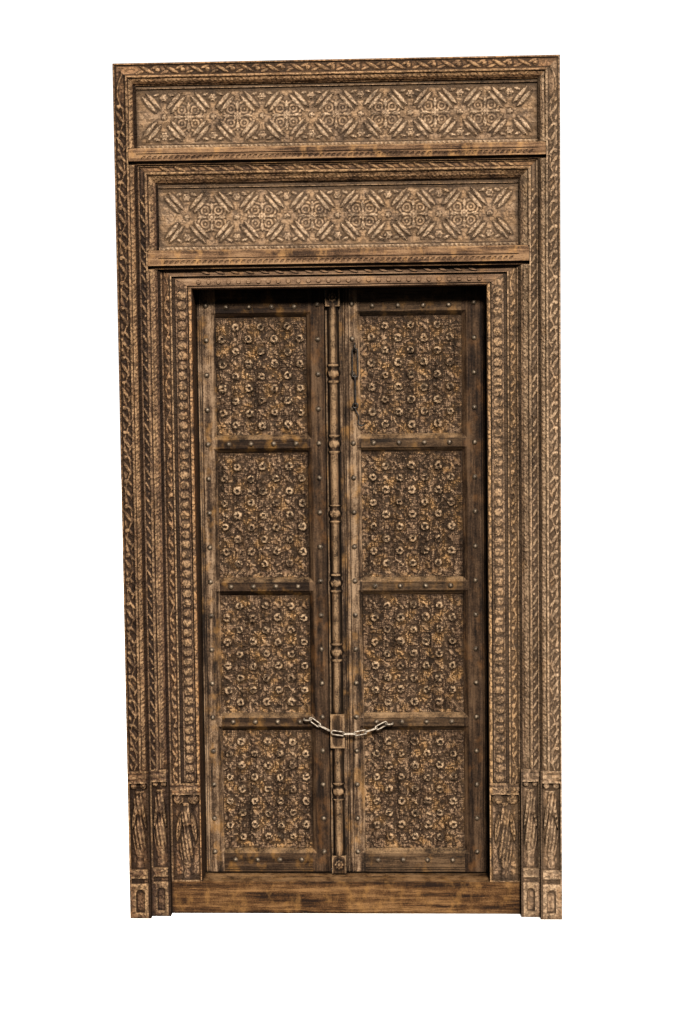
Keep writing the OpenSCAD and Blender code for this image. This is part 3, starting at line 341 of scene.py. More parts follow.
def bevel_face(across, along, wide, flat, drop, low, high):
    """Depth of a timber with a sunk flat and a bevel with a cord between two lines."""
    depth = np.interp(across, [0, margin, margin + wall_w, flat - margin - wall_w, flat - margin, flat, wide],
                      [0, 0, relief, relief, 0, 0, drop])
    share = (across - flat) / (wide - flat)
    upper_line = (share > line_shares[0]) & (share < line_shares[1])
    lines = upper_line | ((share > line_shares[2]) & (share < line_shares[3]))
    slope = math.hypot(wide - flat, drop) / (wide - flat)
    count = int((high - low) / strand_pitch)
    local = nearest(along, (low + high - (count - 1) * strand_pitch) / 2, strand_pitch, count)
    line_d, strand_h = 0.0015, 0.0025
    strand_l, strand_w, strand_slope = 0.013, 0.006, -55
    strands = carved_leaf((across - (wide + flat) / 2) * slope, local, strand_slope, strand_l, strand_w, 0)
    return depth + line_d * lines - strand_h * strands


def leaves_on_flat(depth, leaves, across, flat):
    """Leaves that stand in the sunk flat of a timber."""
    on_flat = (across > margin) & (across < flat - margin)
    return np.where(on_flat, np.minimum(depth, relief * (1 - leaves)), depth)


def lapped(depth, u, z, flat, y_face, bar_low, bar_high):
    """The lap in a post for the end of a transom."""
    lap = (u > flat) & (z > bar_low[2]) & (z < bar_high[2])
    return np.where(lap, bar_low[1] - y_face + lap_d, depth)


def post_painted_shading(u, wide, flat):
    """Painted shading on a post: a painted shadow line where the next timber joins it, and painted light on
    the bevel.
    """
    return np.where(u > wide - joint_w, joint_shadow, np.where(u > flat + margin, bevel_painted_light, 0.0))


def carved_foot(across, along, half, floor):
    """Depth of a jamb foot: hollowed plinth, vase and leaves in a niche, and a capital with volutes."""
    niche = plinth_h + floor
    tall = foot_h - cap_h - plinth_h
    rise = along - niche
    inside = half - margin
    bead_h, bead_pitch, soft_w = 0.0016, 0.017, 0.0015
    arch_off, sill_h, band_off, band_half = 0.054, 0.014, 0.032, 0.008
    axis_in = niche_d + vase_in
    vase_r = min(axis_in, math.hypot(inside, vase_in))
    heights = [0, 0.05, 0.12, 0.22, 0.32, 0.40, 0.50, 0.57, 0.61, 0.66, 0.72, 0.80, 0.86, 0.90, 0.901]
    girth = [0.82, 0.72, 0.62, 0.78, 0.97, 1, 0.9, 0.7, 0.68, 0.9, 0.95, 0.85, 0.66, 0.8, 0]
    radius = vase_r * np.interp(rise / tall, heights, girth, left=0, right=0)
    gadroon = 1 - 0.06 * (1 + np.cos(across / vase_r * 16 + rise * 90)) * ease((rise / tall - 0.15) * 8)
    vase = axis_in - np.sqrt(np.clip((radius * gadroon) ** 2 - across ** 2, 0, None))
    in_niche = ease((inside - np.abs(across)) / 0.0012) * ease(rise / 0.002) * ease((tall - rise) / 0.002)
    depth = np.minimum(niche_d * in_niche, np.clip(vase, 0, niche_d))
    for side in (-1, 1):
        off_axis = across - side * inside * 0.55
        off_top = rise - tall + inside * 0.3
        drape = carved_leaf(off_axis, rise - tall * 0.62, 90 - side * 8, tall * 0.34, inside * 0.42)
        depth = np.where(drape > 0, np.minimum(depth, niche_d - (niche_d - 0.002) * drape), depth)
        volute = knob(off_axis, off_top, inside * 0.42)
        curl = 1 - 0.25 * (0.5 + 0.5 * np.cos(1500 * np.hypot(off_axis, off_top)))
        depth = np.where(volute > 0, np.minimum(depth, niche_d * (1 - volute * curl)), depth)
    capital = bead_h * (0.5 - 0.5 * np.cos((rise - tall) * 2 * np.pi / bead_pitch)) * (rise > tall)
    hollow_r = inside / 2
    crown = plinth_h - arch_off - hollow_r + floor
    below = (hollow_r - np.abs(across)) * (along < crown)
    arch = np.maximum(hollow_r - np.hypot(across, along - crown), below)
    hollow = relief * ease(arch / soft_w) * ease((along - floor - sill_h) / soft_w)
    band = ease((inside - np.abs(across)) / 0.001) * ease((band_half - np.abs(rise + band_off)) / 0.0012)
    return np.maximum.reduce([depth, capital, hollow, relief * band])


def stand_posts(node, x_edge, y_face, y_back, u, z, depth, warm, painted_shading_and_wear, timber, rear_tone=0.0):
    """Stands a left and a right post from one carved face, measured inward from the post's outer edge."""
    for side, sign in (("left", -1), ("right", 1)):
        order = slice(None, None, -sign)
        x, y, rear = sign * (x_edge - u), y_face + depth, np.broadcast_to(y_back, len(u))
        post = carved_piece(f"carved_{node}_{side}", x[order], y[order], z[order], rear[order], warm[order],
                            painted_shading_and_wear[order], rear_tone)
        post.data.materials.append(timber[side])
        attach(post, "frame")
        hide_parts(f"{node}_{side}")


z_outer_head = frame_h - outer_w
transom_low, transom_high = corners("upper_transom")
u, z = upright(outer_w, 0, z_outer_head, frame_h, bevel_edges(outer_w, outer_flat),
               (plinth_h, foot_h, transom_low[2], transom_high[2]))
depth = bevel_face(u, z, outer_w, outer_flat, outer_drop, foot_h + strand_pitch, z_outer_head - strand_pitch)
scrolls = int((z_outer_head - foot_h) / scroll_pitch)
local = nearest(z, foot_h + scroll_pitch / 2, scroll_pitch, scrolls)
curl = u - outer_flat / 2
stem = np.exp(-((curl - 0.008 * np.sin(np.pi * (z - foot_h) / scroll_pitch)) / 0.0015) ** 2)
leaves = np.maximum.reduce([
    carved_leaf(curl + 0.002, local, 58, scroll_pitch * 0.62, 0.009),
    carved_leaf(curl - 0.005, local - scroll_pitch * 0.36, 52, scroll_pitch * 0.4, 0.007),
    0.7 * carved_leaf(curl - 0.009, local + scroll_pitch * 0.2, 112, scroll_pitch * 0.34, 0.006),
    0.6 * carved_leaf(curl + 0.008, local + scroll_pitch * 0.3, 75, scroll_pitch * 0.3, 0.006),
    knob(curl + 0.006, local - scroll_pitch * 0.42, 0.006), 0.7 * stem])
depth = leaves_on_flat(depth, leaves, u, outer_flat)
depth = np.where(z < foot_h, carved_foot(u - outer_w / 2, z, outer_w / 2, 0), depth)
depth = hand_finished(depth, u, z)
depth = lapped(depth, u, z, outer_flat, outer_low[1], transom_low, transom_high)
# The right posts take a lighter copy of the timber and the left posts a darker one: painted light and painted
# shade
outer_timber = {
    "left": aged_wood("outer_timber_left", (0.024, 0.013, 0.008), (0.080, 0.045, 0.026), (0.18, 0.11, 0.065),
                      (0.22, 0.12, 0.055), gouged=0.7),
    "right": aged_wood("outer_timber_right", (0.050, 0.033, 0.021), (0.195, 0.128, 0.080),
                       (0.34, 0.235, 0.155), (0.25, 0.145, 0.07), rubbed=(0.40, 0.285, 0.185), gouged=0.6,
                       hollow_shade_share=0.75)}
# Each outer post gets a painted shadow line at its inner joint and painted light on its bevel
stand_posts("outer_jamb", -outer_low[0], outer_low[1], outer_high[1], u, z, depth,
            np.where(u > outer_flat, 0.15, 0.1), post_painted_shading(u, outer_w, outer_flat), outer_timber)


# The outer head lies across the tops of the outer jambs and is mitred to them at the corners.
# It is the same section laid on its side, carved with the same leaves and cord.
def mitred(wide, half, edges):
    """Grids for a head with slanted ends: distance down from its upper edge, and place along it."""
    v, x = np.meshgrid(grid_lines(0, wide, across_step, edges), grid_lines(-half, half, long_step),
                       indexing="ij")
    share = np.linspace(0, 1, mitre_lines)[1:]
    v_end = np.broadcast_to(v[:, :1], (len(v), len(share)))
    right = half + (wide - v_end) * share
    return np.hstack([v_end, v, v_end]), np.hstack([-right[:, ::-1], x, right])


def lay_board(node, x, z, y_face, y_back, depth, warm, painted_shading_and_wear, timber, body="frame"):
    """Lays a carved board or head from grids that run down from its upper edge."""
    def flip(values):
        return np.broadcast_to(values, x.shape).T[:, ::-1]

    board = carved_piece(f"carved_{node}", flip(x), flip(y_face + depth), flip(z), y_back, flip(warm),
                         flip(painted_shading_and_wear))
    board.data.materials.append(timber)
    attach(board, body)
    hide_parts(node)


half = -outer_low[0] - outer_w
v, x = mitred(outer_w, half, bevel_edges(outer_w, outer_flat))
depth = bevel_face(v, x, outer_w, outer_flat, outer_drop, strand_pitch - half, half - strand_pitch)
scrolls = int(2 * half / scroll_pitch)
local = nearest(x, -(scrolls - 1) * scroll_pitch / 2, scroll_pitch, scrolls)
curl = outer_flat / 2 - v
leaves = np.maximum.reduce([
    carved_leaf(local, curl, 28, scroll_pitch * 0.62, 0.009),
    0.7 * carved_leaf(local - scroll_pitch * 0.3, curl - 0.006, -20, scroll_pitch * 0.36, 0.007),
    0.7 * carved_leaf(local + scroll_pitch * 0.3, curl + 0.006, -20, scroll_pitch * 0.36, 0.007),
    knob(local - scroll_pitch * 0.42, curl, 0.006)])
depth = leaves_on_flat(depth, leaves, v, outer_flat)
depth = hand_finished(depth, x, v)
head_timber = aged_wood("outer_head_timber", (0.045, 0.027, 0.016), (0.185, 0.107, 0.060),
                        (0.33, 0.20, 0.118), (0.25, 0.135, 0.06), grain="X", gouged=0.6)
# The bevel of the head is painted lighter: painted light
lay_board("outer_head", x, frame_h - v, outer_low[1], outer_high[1], depth,
          np.where(v > outer_flat, 0.5, 0.35), np.where(v > outer_flat + margin, bevel_painted_light, 0.0),
          head_timber)


# The two friezes are wide boards let in under the outer and the middle head.
# Crossed pairs of plump lobes make diamonds, each with a flower and four leaves, on a ground cut with curls.
def flower(x, z, radius, petals):
    """An open flower with scalloped petals round a raised eye."""
    away, turn = np.hypot(x, z), np.arctan2(z, x)
    rim = radius * (0.86 + 0.14 * np.cos(petals * turn))
    bowl = np.clip(1 - (away / rim) ** 4, 0, 1) ** 0.6 * (0.7 + 0.3 * np.clip(away / radius, 0, 1))
    groove = 0.4 * np.clip(1 - np.abs(np.sin(petals * turn / 2)) * 3, 0, 1) * (away > radius * 0.35)
    eye = np.exp(-(away / (radius * 0.24)) ** 2)
    ring = np.exp(-((away - radius * 0.4) / (radius * 0.1)) ** 2)
    return np.clip(bowl * (1 - groove) - 0.45 * ring + 0.4 * eye, 0, 1)


frieze_pitch = 0.120
frieze_step = 0.0024
lobe_w = 0.012
lobe_off = 0.0075
flower_r = 0.013
bud_r = 0.011
dot_r = 0.008
sprig_off = 0.027
sprig_l = 0.024
sprig_w = 0.010
bud_leaf_out = 0.020
bud_leaf_up = 0.008
bud_leaf_l = 0.018
bud_leaf_w = 0.007
curl_off = 0.018
curl_pitch = 0.0095
curl_r = 0.030
curl_fade = 0.008
nick_h = 0.0016
nick_pitch = 0.012
edge_shadow_reach = 0.012
frieze_timber = aged_wood("frieze_timber", (0.052, 0.034, 0.022), (0.205, 0.136, 0.087),
                          (0.345, 0.243, 0.162), (0.27, 0.163, 0.082), grain="X", patchy=0.4,
                          rubbed=(0.44, 0.322, 0.218), gouged=0.6, hollow_shade_share=0.75)
quarters = [(side, rise) for side in (-1, 1) for rise in (-1, 1)]
for node in ("upper_frieze", "lower_frieze"):
    low, high = corners(node)
    tall = high[2] - low[2]
    fillet, ground = 2 * margin, relief + 0.001
    cells = int((high[0] - low[0] - 2 * fillet) / frieze_pitch)
    pitch = (high[0] - low[0] - 2 * fillet) / cells
    reach = tall / 2 - fillet
    lean = math.atan2(reach, pitch / 2)
    v, x = np.meshgrid(grid_lines(0, tall, frieze_step, (fillet, tall - fillet)),
                       grid_lines(low[0], high[0], frieze_step), indexing="ij")
    z = high[2] - v
    up = z - (low[2] + high[2]) / 2
    local = nearest(x, -(cells - 1) * pitch / 2, pitch, cells)
    diamond = nearest(x, -(cells - 2) * pitch / 2, pitch, cells - 1)
    bud = reach * 0.68
    lobes = np.maximum.reduce([
        carved_leaf(local - side * (pitch / 4 + row * lobe_off * math.sin(lean)),
                    up - rise * (reach / 2 - row * lobe_off * math.cos(lean)),
                    -side * rise * math.degrees(lean), math.hypot(reach, pitch / 2) * 0.6, lobe_w, 0)
        for side, rise in quarters for row in (-1, 1)])
    blooms = np.maximum.reduce([flower(local, np.abs(up) - bud, bud_r, 6), flower(local, up, dot_r, 5),
                                flower(diamond, up, flower_r, 8)])
    sprigs = [carved_leaf(np.abs(diamond) - sprig_off, up, 0, sprig_l, sprig_w),
              carved_leaf(diamond, np.abs(up) - sprig_off, 90, sprig_l, sprig_w)]
    for side, rise in quarters:
        sprigs.append(carved_leaf(local - side * bud_leaf_out, up - rise * (bud + bud_leaf_up),
                                  side * rise * 20, bud_leaf_l, bud_leaf_w))
    curls = np.hypot(np.abs(diamond) - curl_off, np.abs(up) - curl_off)
    curls = 0.35 * (0.5 + 0.5 * np.cos(curls * 2 * np.pi / curl_pitch)) * ease((curl_r - curls) / curl_fade)
    raised = np.maximum.reduce([lobes, blooms, *sprigs, curls])
    sunk = (v > fillet) & (v < tall - fillet)
    depth = np.where(sunk, ground * (1 - raised), 0)
    nicks = nick_h * (0.5 + 0.5 * np.cos((x + 0.6 * z) * 2 * np.pi / nick_pitch))
    depth = hand_finished(depth + (v > tall - fillet) * nicks, x, z)
    # Painted shadow along the top of each frieze, under the head, and at both ends beside the jambs
    painted_shading_and_wear = 1.5 * np.exp(-(v / edge_shadow_reach) ** 2)
    painted_shading_and_wear = painted_shading_and_wear + 0.7 * np.exp(-(x - low[0]) / edge_shadow_reach) + 0.7 * np.exp((x - high[0]) / edge_shadow_reach)
    lay_board(node, x, z, low[1], high[1], depth, 0.4 * (1 - raised), painted_shading_and_wear, frieze_timber)


# The transoms are bars under each frieze, with a light top edge, a row of slanted nicks along the lower half
# and a deep shadow cove below. Their ends are lapped into the jambs.
weld_gap = 0.00002
eased_angle = 40
fine_edge = 0.0008


def softened(node, width, material):
    """Eases the sharp edges of a plain timber and gives it its finish."""
    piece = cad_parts[node]
    weld = piece.modifiers.new("joined", "WELD")
    weld.merge_threshold = weld_gap
    bevel = piece.modifiers.new("eased_edges", "BEVEL")
    bevel.width = width
    bevel.segments = 2
    bevel.limit_method = "ANGLE"
    bevel.angle_limit = math.radians(eased_angle)
    piece.data.materials.clear()
    piece.data.materials.append(material)


transom_timber = aged_wood("transom_timber", (0.030, 0.017, 0.010), (0.115, 0.066, 0.036),
                           (0.22, 0.135, 0.075), (0.32, 0.18, 0.075), grain="X", patchy=0.6, spread=0.065)
for node in ("upper_transom", "lower_transom"):
    softened(node, fine_edge, transom_timber)


# The middle jambs stand inside the outer ones, a step further back, and carry the middle head.
# A chain of drop leaves runs down the narrow flat, and a cord between two lines down the steep bevel.
middle_low, middle_high = corners("middle_jamb_left")
middle_w = middle_high[0] - middle_low[0]
middle_flat = 0.023
middle_drop = 0.026
leaf_pitch = scroll_pitch * 0.6
z_middle_head = middle_high[2] - middle_w
transom_low, transom_high = corners("lower_transom")
u, z = upright(middle_w, 0, z_middle_head, middle_high[2], bevel_edges(middle_w, middle_flat),
               (plinth_h, foot_h, transom_low[2], transom_high[2]))
depth = bevel_face(u, z, middle_w, middle_flat, middle_drop, foot_h + strand_pitch,
                   z_middle_head - strand_pitch)
drops = int((z_middle_head - foot_h) / leaf_pitch)
local = nearest(z, foot_h + leaf_pitch / 2, leaf_pitch, drops)
curl = u - middle_flat / 2
leaves = np.maximum(carved_leaf(curl, local, 62, leaf_pitch * 0.85, 0.007),
                    0.8 * knob(curl - 0.003, np.abs(local) - leaf_pitch / 2, 0.0035))
depth = leaves_on_flat(depth, leaves, u, middle_flat)
depth = np.where(z < foot_h, carved_foot(u - middle_w / 2, z, middle_w / 2, 0), depth)
depth = hand_finished(depth, u + 1, z)
depth = lapped(depth, u, z, middle_flat, middle_low[1], transom_low, transom_high)
# The right posts take a lighter copy of the timber and the left posts a darker one: painted light and painted
# shade
middle_timber = {
    "left": aged_wood("middle_timber_left", (0.024, 0.014, 0.010), (0.080, 0.047, 0.030),
                      (0.17, 0.105, 0.065), (0.22, 0.12, 0.055), gouged=0.7),
    "right": aged_wood("middle_timber_right", (0.045, 0.030, 0.020), (0.175, 0.114, 0.072),
                       (0.31, 0.21, 0.138), (0.26, 0.155, 0.075), rubbed=(0.38, 0.27, 0.17), gouged=0.6,
                       hollow_shade_share=0.75)}
# Each middle post gets a painted shadow line at its inner joint and painted light on its bevel
stand_posts("middle_jamb", -middle_low[0], middle_low[1], middle_high[1], u, z, depth,
            np.full_like(u, 0.1), post_painted_shading(u, middle_w, middle_flat), middle_timber)


# The middle head is the same section laid over the middle jambs and mitred to them.
# It is carved with a row of leaves along its flat, which is rubbed tan.
half = -middle_low[0] - middle_w
v, x = mitred(middle_w, half, bevel_edges(middle_w, middle_flat))
depth = bevel_face(v, x, middle_w, middle_flat, middle_drop, strand_pitch - half, half - strand_pitch)
drops = int(2 * half / leaf_pitch)
local = nearest(x, -(drops - 1) * leaf_pitch / 2, leaf_pitch, drops)
leaves = carved_leaf(local, middle_flat / 2 - v, 24, leaf_pitch * 0.85, 0.007)
depth = leaves_on_flat(depth, leaves, v, middle_flat)
depth = hand_finished(depth, x, v + 1)
middle_head_timber = aged_wood("middle_head_timber", (0.034, 0.020, 0.013), (0.135, 0.079, 0.046),
                               (0.27, 0.17, 0.10), (0.25, 0.14, 0.065), grain="X", gouged=0.6)
# The bevel of the head is painted lighter (painted light), and its flat is a little paler where rubbed
lay_board("middle_head", x, middle_high[2] - v, middle_low[1], middle_high[1], depth,
          np.where(v > middle_flat, 0.4, 0.5), np.where(v > middle_flat + margin, bevel_painted_light, -0.3),
          middle_head_timber)


# The inner jambs are the third pair of posts, and the heels of the leaves turn in a recess behind them.
# Their front is a scroll band, a groove, a column of knobs, a second groove and a plain worn arris.
jamb_low, jamb_high = corners("inner_jamb_left")
inner_w = jamb_high[0] - jamb_low[0]
scroll_w = 0.030
column_w = 0.032
arris_w = 0.009
groove_w = 0.004
column_start = inner_w - arris_w - groove_w - column_w
column_end = column_start + column_w
arris_start = inner_w - arris_w
rebate_w = 0.010
rebate_y = 0.042
reveal_w = 0.001
reveal_shadow = 2.0
inner_step = 0.0034
knob_pitch = column_w * 0.85
z_door_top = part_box("inner_head")[0][2]
inner_foot = jamb_low[2] + foot_h - plinth_h
u, z = upright(inner_w, jamb_low[2], z_door_top, jamb_high[2],
               (margin, scroll_w - margin, scroll_w, column_start, column_end, arris_start,
                inner_w - rebate_w), (inner_foot,), inner_step)
depth = np.interp(u, [0, margin, margin + wall_w, scroll_w - margin - wall_w, scroll_w - margin, scroll_w,
                      scroll_w + wall_w, column_start - wall_w, column_start, column_end,
                      column_end + wall_w, arris_start - wall_w, arris_start, inner_w - margin, inner_w],
                  np.array([0, 0, 1, 1, 0, 0, 2, 2, 1, 1, 2, 2, 0, 0, 1]) * relief)
scrolls = int((z_door_top - inner_foot) / (scroll_pitch * 0.8))
local = nearest(z, inner_foot + scroll_pitch * 0.4, scroll_pitch * 0.8, scrolls)
curl = u - scroll_w / 2
stem = np.exp(-((curl + 0.006 * np.sin(np.pi * (z - inner_foot) / scroll_pitch / 0.8)) / 0.0014) ** 2)
leaves = np.maximum.reduce([
    carved_leaf(curl, local, 60, scroll_pitch * 0.48, 0.008),
    knob(curl - 0.003, np.abs(local) - scroll_pitch * 0.4, 0.006), 0.6 * stem])
depth = leaves_on_flat(depth, leaves, u, scroll_w)
knobs = int((z_door_top - inner_foot) / knob_pitch)
side, along = u - column_start - column_w / 2, nearest(z, inner_foot + knob_pitch / 2, knob_pitch, knobs)
bosses = knob(side, along, column_w * 0.40) * (1 - 0.35 * np.clip(np.cos((side + 0.5 * along) * 900), 0, 1))
on_column = (u > column_start) & (u < column_end)
depth = np.where(on_column, relief * (1.3 - 1.3 * bosses), depth)
depth = np.where(z < inner_foot, carved_foot(u - inner_w / 2, z, inner_w / 2, inner_foot - foot_h), depth)
depth = hand_finished(depth, u + 2, z)
# The right posts take a lighter copy of the timber and the left posts a darker one: painted light and painted
# shade
inner_timber = {
    "left": aged_wood("inner_timber_left", (0.034, 0.020, 0.013), (0.128, 0.078, 0.048),
                      (0.25, 0.165, 0.102), (0.24, 0.12, 0.05), patchy=0.3, gouged=0.8),
    "right": aged_wood("inner_timber_right", (0.045, 0.030, 0.020), (0.180, 0.116, 0.072),
                       (0.32, 0.215, 0.137), (0.30, 0.175, 0.08), patchy=0.3, gouged=0.8, hollow_shade_share=0.75)}
jamb_rear = np.where(u[:, 0] > inner_w - rebate_w, rebate_y, jamb_high[1])
on_scroll = (u > margin) & (u < scroll_w - margin)
# The arris edge at the reveal is painted shade, and rear_tone -1 paints shade on the back and sides in the
# rebate
stand_posts("inner_jamb", -jamb_low[0], jamb_low[1], jamb_rear, u, z, depth,
            np.where(u > arris_start, 0.9, np.where(on_scroll, 0.4, 0.0)),
            np.where(u > inner_w - reveal_w, reveal_shadow, 0.0), inner_timber, -1)


# The inner head lies over the inner jambs. Its lip is the stop that the leaves close against,
# and the sockets for the upper pivots are bored in the recess behind the lip, so the timber itself stays.
inner_head_timber = aged_wood("inner_head_timber", (0.034, 0.021, 0.013), (0.14, 0.086, 0.052),
                              (0.26, 0.172, 0.107), (0.28, 0.155, 0.07), grain="X", patchy=0.4, gouged=0.5)
softened("inner_head", fine_edge, inner_head_timber)


# The threshold is one long plank on the floor, under the leaves and the inner jambs.
# It holds the lower pivots, and feet have rubbed it warm and smooth.
threshold_timber = aged_wood("threshold_timber", (0.014, 0.007, 0.004), (0.064, 0.031, 0.012),
                             (0.16, 0.088, 0.038), (0.26, 0.14, 0.048), grain="X", patchy=0.4, spread=0.065)
worn_edge = 0.003
softened("threshold", worn_edge, threshold_timber)


# Each leaf is framed by two stiles and five rails, tongued together, with a splayed edge round every panel.
# The left hinge stile and the right meeting stile are greyed and dusty. The other two are darker, painted
# shade for the shadows of the right jamb and the astragal, and the rails are browner with yellow scuffs.
stile_timber = aged_wood("stile_timber", (0.014, 0.009, 0.006), (0.072, 0.045, 0.027), (0.22, 0.15, 0.095),
                         (0.28, 0.15, 0.05), patchy=0.4, spread=0.065)
shaded_stile_timber = aged_wood("painted_shade_stile_timber", (0.010, 0.006, 0.004), (0.036, 0.021, 0.012),
                        (0.085, 0.052, 0.030), (0.17, 0.08, 0.027), patchy=0.3, spread=0.07)
# The left leaf's rails take a darker copy of the rail timber than the right leaf's: painted shade
rail_timber = {
    "left": aged_wood("rail_timber_left", (0.009, 0.005, 0.003), (0.028, 0.016, 0.009), (0.062, 0.037, 0.020),
                      (0.24, 0.125, 0.035), grain="X", patchy=0.4, spread=0.07),
    "right": aged_wood("rail_timber_right", (0.014, 0.009, 0.006), (0.048, 0.029, 0.016),
                       (0.105, 0.066, 0.037), (0.24, 0.13, 0.045), grain="X", patchy=0.35, spread=0.07)}
eased_w = 0.0012
for node, timber in (("left_hinge_stile", stile_timber), ("left_meeting_stile", shaded_stile_timber),
                     ("right_hinge_stile", shaded_stile_timber), ("right_meeting_stile", stile_timber)):
    softened(node, eased_w, timber)
for side in ("left", "right"):
    for rail in ("bottom_rail", "lower_rail", "middle_rail", "upper_rail", "top_rail"):
        softened(f"{side}_{rail}", eased_w, rail_timber[side])


# The panels are thin boards carved all over: staggered rosettes with drilled eyes, slanted leaves between
# them and small gouge cuts over the ground. They sit in the grooves of the stiles and rails.
rosette_r = 0.014
rosette_eye = 0.005
rosette_h = 0.008
rosette_dx = 0.036
rosette_dz = 0.034
spray_l = 0.032
spray_w = 0.010
spray_h = 0.003
chip_h = 0.0022
eye_soft = 0.0016
panel_hand_cut = 0.0004
tongue = 0.0088
panel_step = 0.0025
rim_w = 0.002
sway = 0.0011
panel_timber = aged_wood("panel_timber", (0.030, 0.018, 0.010), (0.122, 0.075, 0.046), (0.25, 0.163, 0.100),
                         (0.29, 0.16, 0.06), patchy=0.35, rubbed=(0.38, 0.27, 0.172), gouged=1.0, rub_and_highlight_share=0.75,
                         hollow_shade_share=0.78, spread=0.085)
slope = math.degrees(math.atan2(rosette_dz, rosette_dx))
for side in ("left", "right"):
    for row in (1, 2, 3, 4):
        node = f"{side}_panel_{row}"
        low, high = corners(node)
        low, high = low + [tongue, 0, tongue], high - [tongue, 0, tongue]
        v, x = np.meshgrid(grid_lines(0, high[2] - low[2], panel_step),
                           grid_lines(low[0], high[0], panel_step), indexing="ij")
        z = high[2] - v
        right, up = x - (low[0] + high[0]) / 2, z - (low[2] + high[2]) / 2
        columns = int(((high[0] - low[0]) / 2 - rosette_r - rim_w) / rosette_dx)
        rows = int(((high[2] - low[2]) / 2 - rosette_r - rim_w) / rosette_dz)
        blooms, eyes, sprays = np.zeros_like(x), np.zeros_like(x), np.zeros_like(x)
        for i in range(-columns, columns + 1):
            for j in range(-rows, rows + 1):
                to_x = right - i * rosette_dx - sway * math.sin(5.1 * i + 9.7 * j + row)
                to_z = up - j * rosette_dz - sway * math.sin(8.3 * i - 4.9 * j + row)
                if (i + j) % 2:
                    sprays = np.maximum(sprays, carved_leaf(to_x, to_z, slope, spray_l, spray_w))
                    continue
                away, turn = np.hypot(to_x, to_z), np.arctan2(to_z, to_x) + 0.7 * i + j
                size = rosette_r * (0.93 + 0.07 * math.sin(12.9 * i + 78.2 * j + 3 * row))
                petals = ease((size * (0.95 + 0.05 * np.cos(8 * turn)) - away) / (size * 0.2))
                grooves = 0.22 * (0.5 + 0.5 * np.cos(8 * turn)) * (away > rosette_eye * 1.3)
                blooms = np.maximum(blooms, petals * (1 - grooves))
                eye_r = rosette_eye * (0.88 + 0.12 * np.cos(2 * turn))
                eyes = np.maximum(eyes, ease((eye_r - away) / eye_soft))
        chips = np.sin(right * 610 + 9 * np.sin(up * 83)) * np.sin(up * 560 + 7 * np.sin(right * 97))
        ground = spray_h * sprays + chip_h * np.clip(chips, 0, 1) * (1 - sprays)
        depth = rosette_h - np.maximum(rosette_h * blooms, ground) + rosette_eye * eyes
        depth = hand_finished(depth, x, z, panel_hand_cut)
        waves = np.sin(right * 71 + row * 2 + 2 * np.sin(up * 37)) * np.sin(up * 58 + row)
        warm = 0.6 * np.clip(1.6 * waves, 0, 1) * (1 - blooms)
        # Painted shadow along the top and right edge of each panel and over the slanted leaves; the rosettes
        # are made a little paler, by rubbing and a painted highlight
        painted_shading_and_wear = 1.2 * np.exp(-v / 0.007) + 1.2 * np.exp((x - high[0]) / 0.006)
        painted_shading_and_wear = painted_shading_and_wear + 0.6 * sprays - 0.2 * blooms * (1 - eyes)
        lay_board(node, x, z, low[1], high[1], depth, warm, painted_shading_and_wear, panel_timber, f"{side}_leaf")


# The nails are forged iron with domed heads, worn brown.
# They are driven through the stiles and rails in rows, and stand proud of the wood.
def forged_iron(name, dark, rubbed, rough):
    """Old hammered iron, brown-black with paler rubbed places."""
    material = bpy.data.materials.new(name)
    material.use_nodes = True
    tree = material.node_tree
    shader = tree.nodes["Principled BSDF"]
    shader.inputs["Metallic"].default_value = 0.5
    place = tree.nodes.new("ShaderNodeTexCoord")
    blows = tree.nodes.new("ShaderNodeTexVoronoi")
    blows.inputs["Scale"].default_value = 260
    rust = tree.nodes.new("ShaderNodeTexNoise")
    rust.inputs["Scale"].default_value = 120
    rust.inputs["Detail"].default_value = 6
    for texture in (blows, rust):
        tree.links.new(place.outputs["Object"], texture.inputs["Vector"])
    ramp = tree.nodes.new("ShaderNodeValToRGB")
    ramp.color_ramp.elements[0].position = 0.36
    ramp.color_ramp.elements[0].color = (*dark, 1)
    ramp.color_ramp.elements[1].position = 0.68
    ramp.color_ramp.elements[1].color = (*rubbed, 1)
    tree.links.new(rust.outputs["Fac"], ramp.inputs["Fac"])
    tree.links.new(ramp.outputs["Color"], shader.inputs["Base Color"])
    gloss = tree.nodes.new("ShaderNodeMapRange")
    gloss.inputs["To Min"].default_value = rough - 0.12
    gloss.inputs["To Max"].default_value = rough + 0.2
    tree.links.new(rust.outputs["Fac"], gloss.inputs["Value"])
    tree.links.new(gloss.outputs["Result"], shader.inputs["Roughness"])
    bump = tree.nodes.new("ShaderNodeBump")
    bump.inputs["Strength"].default_value = 0.4
    bump.inputs["Distance"].default_value = 0.0006
    tree.links.new(blows.outputs["Distance"], bump.inputs["Height"])
    tree.links.new(bump.outputs["Normal"], shader.inputs["Normal"])
    return material


def finish_iron(node, material):
    """Gives an iron node its finish."""
    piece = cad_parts[node]
    piece.data.materials.clear()
    piece.data.materials.append(material)


nail_iron = forged_iron("nail_iron", (0.030, 0.020, 0.013), (0.18, 0.135, 0.092), 0.46)
for node in ("left_nails", "right_nails"):
    finish_iron(node, nail_iron)


